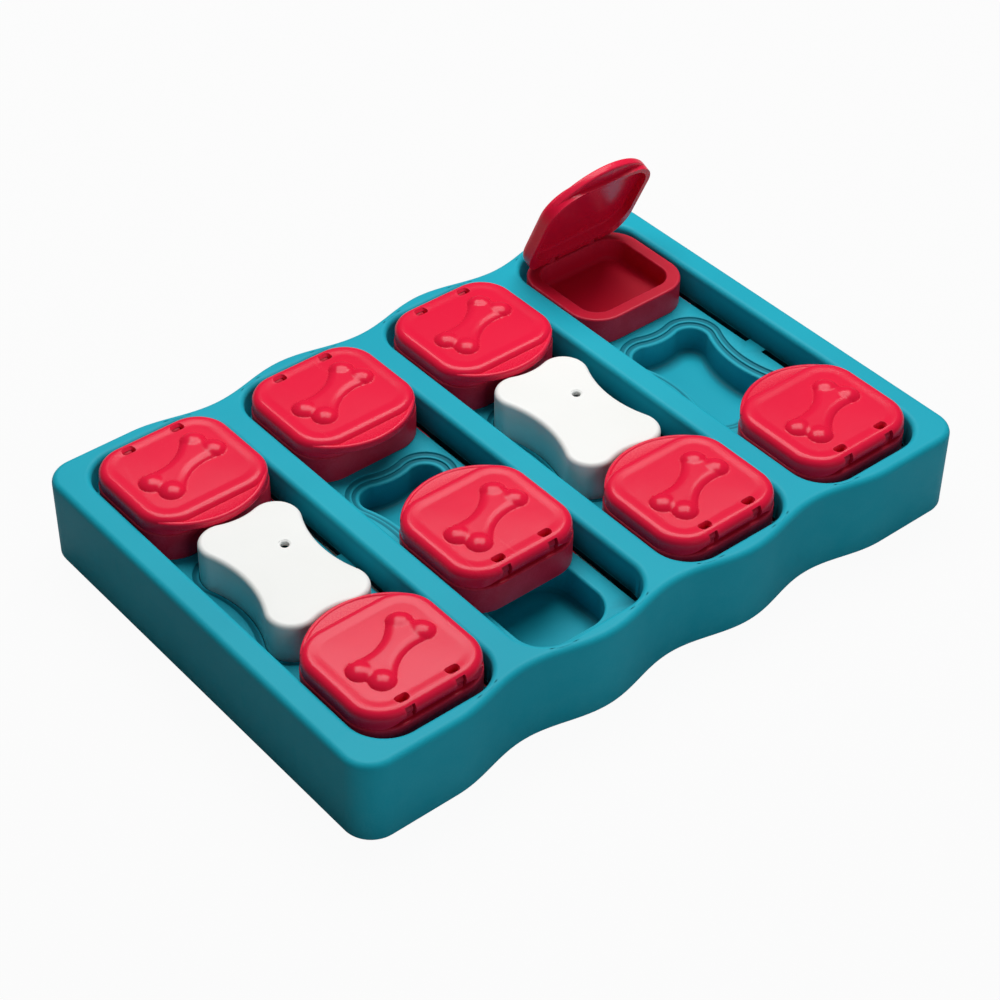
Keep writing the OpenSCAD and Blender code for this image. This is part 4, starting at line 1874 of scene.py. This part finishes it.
@dataclass(frozen=True)
class Bone:
    """A hollow bone that stands over the middle recess, with a scent hole in its top."""

    shape: BoneShape = BoneShape(**BONE_SIZES, steps=26)
    low: float = 24.3
    height: float = 19.6
    wall: float = 2.5
    edge: float = 2.2
    bevel: float = 0.3
    foot: float = 0.5
    ceiling_r: float = 2.0
    crown: float = 0.3
    turn: float = BONE_TURN
    hole_r: float = 1.75
    hole_edge: float = 0.8
    hole_flare: float = 0.1
    hole_sunk: float = 1.0
    hole: tuple[float, float] = (6.0, 8.0)

    def build(self) -> Skin:
        """Builds one bone about the origin.

        Returns:
            Its surface.
        """
        outline, low, wall = self.shape.outline(), self.low, self.wall
        top, ceiling = low + self.height, low + self.height - wall
        bend = BEND * self.foot
        rows = ceiling_round(wall, ceiling, self.ceiling_r, 5)
        rows += [(wall, low + self.bevel), (wall - self.bevel, low), (self.foot, low),
                 (bend, low + bend), (0, low + self.foot)]
        skin = Skin()
        skin.disc(outline, wall + self.ceiling_r, ceiling, 4, upwards=False)
        skin.rise(outline, rows)
        skin.rise(outline, rows[-1:] + round_over(0, top - self.crown, self.edge, 14)[:-1])
        ring = outline.inset(self.edge)
        shrink = np.linspace(0, 1, 25)
        skin.grid(np.stack([level(ring * (1 - t), top - self.crown * (1 - t)**2) for t in shrink]))
        return carve(skin, [self.hole_cutter(ceiling, top)])

    def hole_cutter(self, ceiling: float, top: float) -> Skin:
        """The scent hole with its rounded mouth, from below the ceiling to above the top.

        Args:
            ceiling: The height of the hollow's ceiling.
            top: The height of the bone's top.

        Returns:
            The closed surface to cut away.
        """
        bore = joined(arc(self.hole, self.hole_r, 0, 360, 40))
        start, neck, edge = ceiling - 2 * BEYOND, top - self.hole_sunk, self.hole_edge
        rows = [(0, start), (0, neck)]
        rows += [(-edge * (1 - c), neck + edge * s) for c, s in quarter_turn(6)[1:]]
        rows += [(-edge - self.hole_flare, top + BEYOND)]
        tool = Skin()
        tool.disc(bore, 0, start, 1, upwards=False)
        tool.rise(bore, rows)
        tool.disc(bore, *rows[-1], 1, upwards=True)
        return tool

    def dress(self, channels: Sequence[int], palette: Palette) -> None:
        """Makes each bone in place of its CAD node.

        Args:
            channels: The channels that hold a bone.
            palette: The materials.
        """
        skin = self.build()
        angle = np.radians(self.turn)
        spin = np.array([[np.cos(angle), np.sin(angle), 0], [-np.sin(angle), np.cos(angle), 0], [0, 0, 1]])
        for channel in channels:
            low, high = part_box(f"bone_{channel}")
            x = (low.x + high.x) / 2 / MM
            placed = skin.moved(lambda points, x=x: points @ spin + (x, 0, 0))
            make_piece(f"bone_shell_{channel}", placed, palette.bone, Slot.BONE,
                       f"lift_off_bone_{channel}", f"bone_{channel}")


def dress_pins(blocks: Sequence[Block], palette: Palette) -> None:
    """Gives the hinge pins, which keep their CAD shape, their steel.

    Args:
        blocks: The blocks whose pins are dressed.
        palette: The materials.
    """
    for block in blocks:
        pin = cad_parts[f"hinge_pin_{block.name}"]
        pin.data.materials.clear()
        pin.data.materials.append(palette.pin)
        LOG.info("hinge_pin_%s: steel", block.name)


# ------------------------------------------------------------------ studio


WHITE: Colour = (1.0, 1.0, 1.0, 1.0)


@dataclass(frozen=True)
class Viewpoint:
    """The camera, given by where it looks from and at, in millimetres and degrees.

    The lens and sensor are in millimetres too, and clip_start is in metres.
    """

    azimuth: float = -40.096
    elevation: float = 40.825
    distance: float = 1081.8
    target: tuple[float, float, float] = (7.40, 13.18, 0.0)
    roll: float = 0.776
    lens: float = 89.66
    sensor: float = 36.0
    clip_start: float = 0.05

    def place(self) -> None:
        """Makes the camera and gives it to the scene."""
        az, el, roll = np.radians([self.azimuth, self.elevation, self.roll])
        back = np.array([np.sin(az) * np.cos(el), -np.cos(az) * np.cos(el), np.sin(el)])
        right = np.cross(-back, (0, 0, 1))
        right /= np.linalg.norm(right)
        up = np.cross(right, -back)
        across = np.cos(roll) * right + np.sin(roll) * up
        upright = np.cos(roll) * up - np.sin(roll) * right
        data = bpy.data.cameras.new("product_camera")
        data.lens, data.sensor_width, data.clip_start = self.lens, self.sensor, self.clip_start
        camera = bpy.data.objects.new("product_camera", data)
        turn = Matrix(np.column_stack([across, upright, back]).tolist()).to_4x4()
        camera.matrix_world = Matrix.Translation((np.array(self.target) + back * self.distance) * MM) @ turn
        bpy.context.scene.collection.objects.link(camera)
        bpy.context.scene.camera = camera


@dataclass(frozen=True)
class Softbox:
    """A large area lamp that looks at a point, in metres and watts."""

    name: str
    at: tuple[float, float, float]
    size: tuple[float, float]
    power: float
    aim: tuple[float, float, float] = (0.0, 0.0, 0.03)
    mirrored: bool = True
    tint: tuple[float, float, float] = (1.0, 1.0, 1.0)

    def place(self) -> None:
        """Makes the lamp."""
        data = bpy.data.lights.new(self.name, "AREA")
        data.shape, data.size, data.size_y, data.energy = "RECTANGLE", *self.size, self.power
        data.color = self.tint
        lamp = bpy.data.objects.new(self.name, data)
        turn = (Vector(self.at) - Vector(self.aim)).to_track_quat("Z", "Y")
        lamp.matrix_world = Matrix.Translation(self.at) @ turn.to_matrix().to_4x4()
        lamp.visible_glossy = self.mirrored
        bpy.context.scene.collection.objects.link(lamp)


@dataclass(frozen=True)
class Studio:
    """The plain pale floor, the lamps and the even light of the room."""

    floor_size: float = 8.0
    floor_drop: float = 0.1 * MM
    floor_tone: Colour = srgb(165, 165, 165)
    floor_roughness: float = 0.9
    glow: float = 0.95
    room: float = 0.05
    covered: tuple[float, float] = (0.155, 0.103)
    lamps: tuple[Softbox, ...] = (
        Softbox("overhead", (0.3, 0.35, 1.1), (1.1, 0.85), 16.5),
        Softbox("front_fill", (-0.1, -1.4, 0.7), (1.0, 0.8), 5.2, mirrored=False, tint=(0.82, 0.94, 1.0)))

    def lay_floor(self) -> None:
        """Makes the floor; what the camera sees of it is partly white light, so it stays white.

        The patch that the toy covers has no such light, because it is seen through the slots.
        From below the floor is clear, so that the underside shows.
        """
        half = self.floor_size / 2
        mesh = bpy.data.meshes.new("studio_floor")
        mesh.from_pydata([(*at, -self.floor_drop) for at in four_corners(half, half)], [], [(0, 1, 2, 3)])
        floor = bpy.data.objects.new("studio_floor", mesh)
        material, sheet, shader = new_material("studio_paper")
        sheet.feed(shader, {"Base Color": self.floor_tone, "Roughness": self.floor_roughness})
        light = sheet.add("Emission", {"Color": WHITE, "Strength": 1.0})
        seen = sheet.add("LightPath").outputs["Is Camera Ray"]
        away = sheet.add("SeparateXYZ", {0: sheet.coordinates()})
        open_x, open_y = (sheet.maths("GREATER_THAN", sheet.maths("ABSOLUTE", away.outputs[axis]), limit)
                          for axis, limit in enumerate(self.covered))
        share = sheet.product(seen, self.glow, sheet.maths("MAXIMUM", open_x, open_y))
        mix = sheet.add("MixShader", {0: share, 1: shader.outputs[0], 2: light.outputs[0]})
        below = sheet.add("NewGeometry").outputs["Backfacing"]
        clear = sheet.add("BsdfTransparent").outputs[0]
        sides = sheet.add("MixShader", {0: below, 1: mix.outputs[0], 2: clear})
        sheet.feed(material.node_tree.nodes["Material Output"], {"Surface": sides.outputs[0]})
        mesh.materials.append(material)
        bpy.context.scene.collection.objects.link(floor)

    def light_room(self) -> None:
        """Sets the even light of the room; the camera sees it white."""
        world = bpy.data.worlds.new("studio_room")
        world.use_nodes = True
        sheet = Sheet(world.node_tree)
        dim = world.node_tree.nodes["Background"]
        sheet.feed(dim, {"Color": WHITE, "Strength": self.room})
        bright = sheet.add("Background", {"Color": WHITE, "Strength": 1.0})
        seen = sheet.add("LightPath").outputs["Is Camera Ray"]
        mix = sheet.add("MixShader", {0: seen, 1: dim.outputs[0], 2: bright.outputs[0]})
        sheet.feed(world.node_tree.nodes["World Output"], {"Surface": mix.outputs[0]})
        bpy.context.scene.world = world

    def set_up(self) -> None:
        """Puts up the whole studio."""
        bpy.context.scene.view_settings.view_transform = "Standard"
        self.lay_floor()
        self.light_room()
        for lamp in self.lamps:
            lamp.place()


def main() -> None:
    """Builds the studio and every piece of the toy."""
    logging.basicConfig(level=logging.INFO, format="%(name)s: %(message)s")
    Viewpoint().place()
    Studio().set_up()
    palette = make_palette()
    blocks = [Block(channel, side) for channel in range(1, 5) for side in Side]
    Tray().dress(palette)
    Feet().dress(palette)
    Box().dress(blocks, palette)
    Lid().dress(blocks, Block(4, Side.FAR), palette)
    Bone().dress((1, 3), palette)
    dress_pins(blocks, palette)


if __name__ == "__main__":
    main()
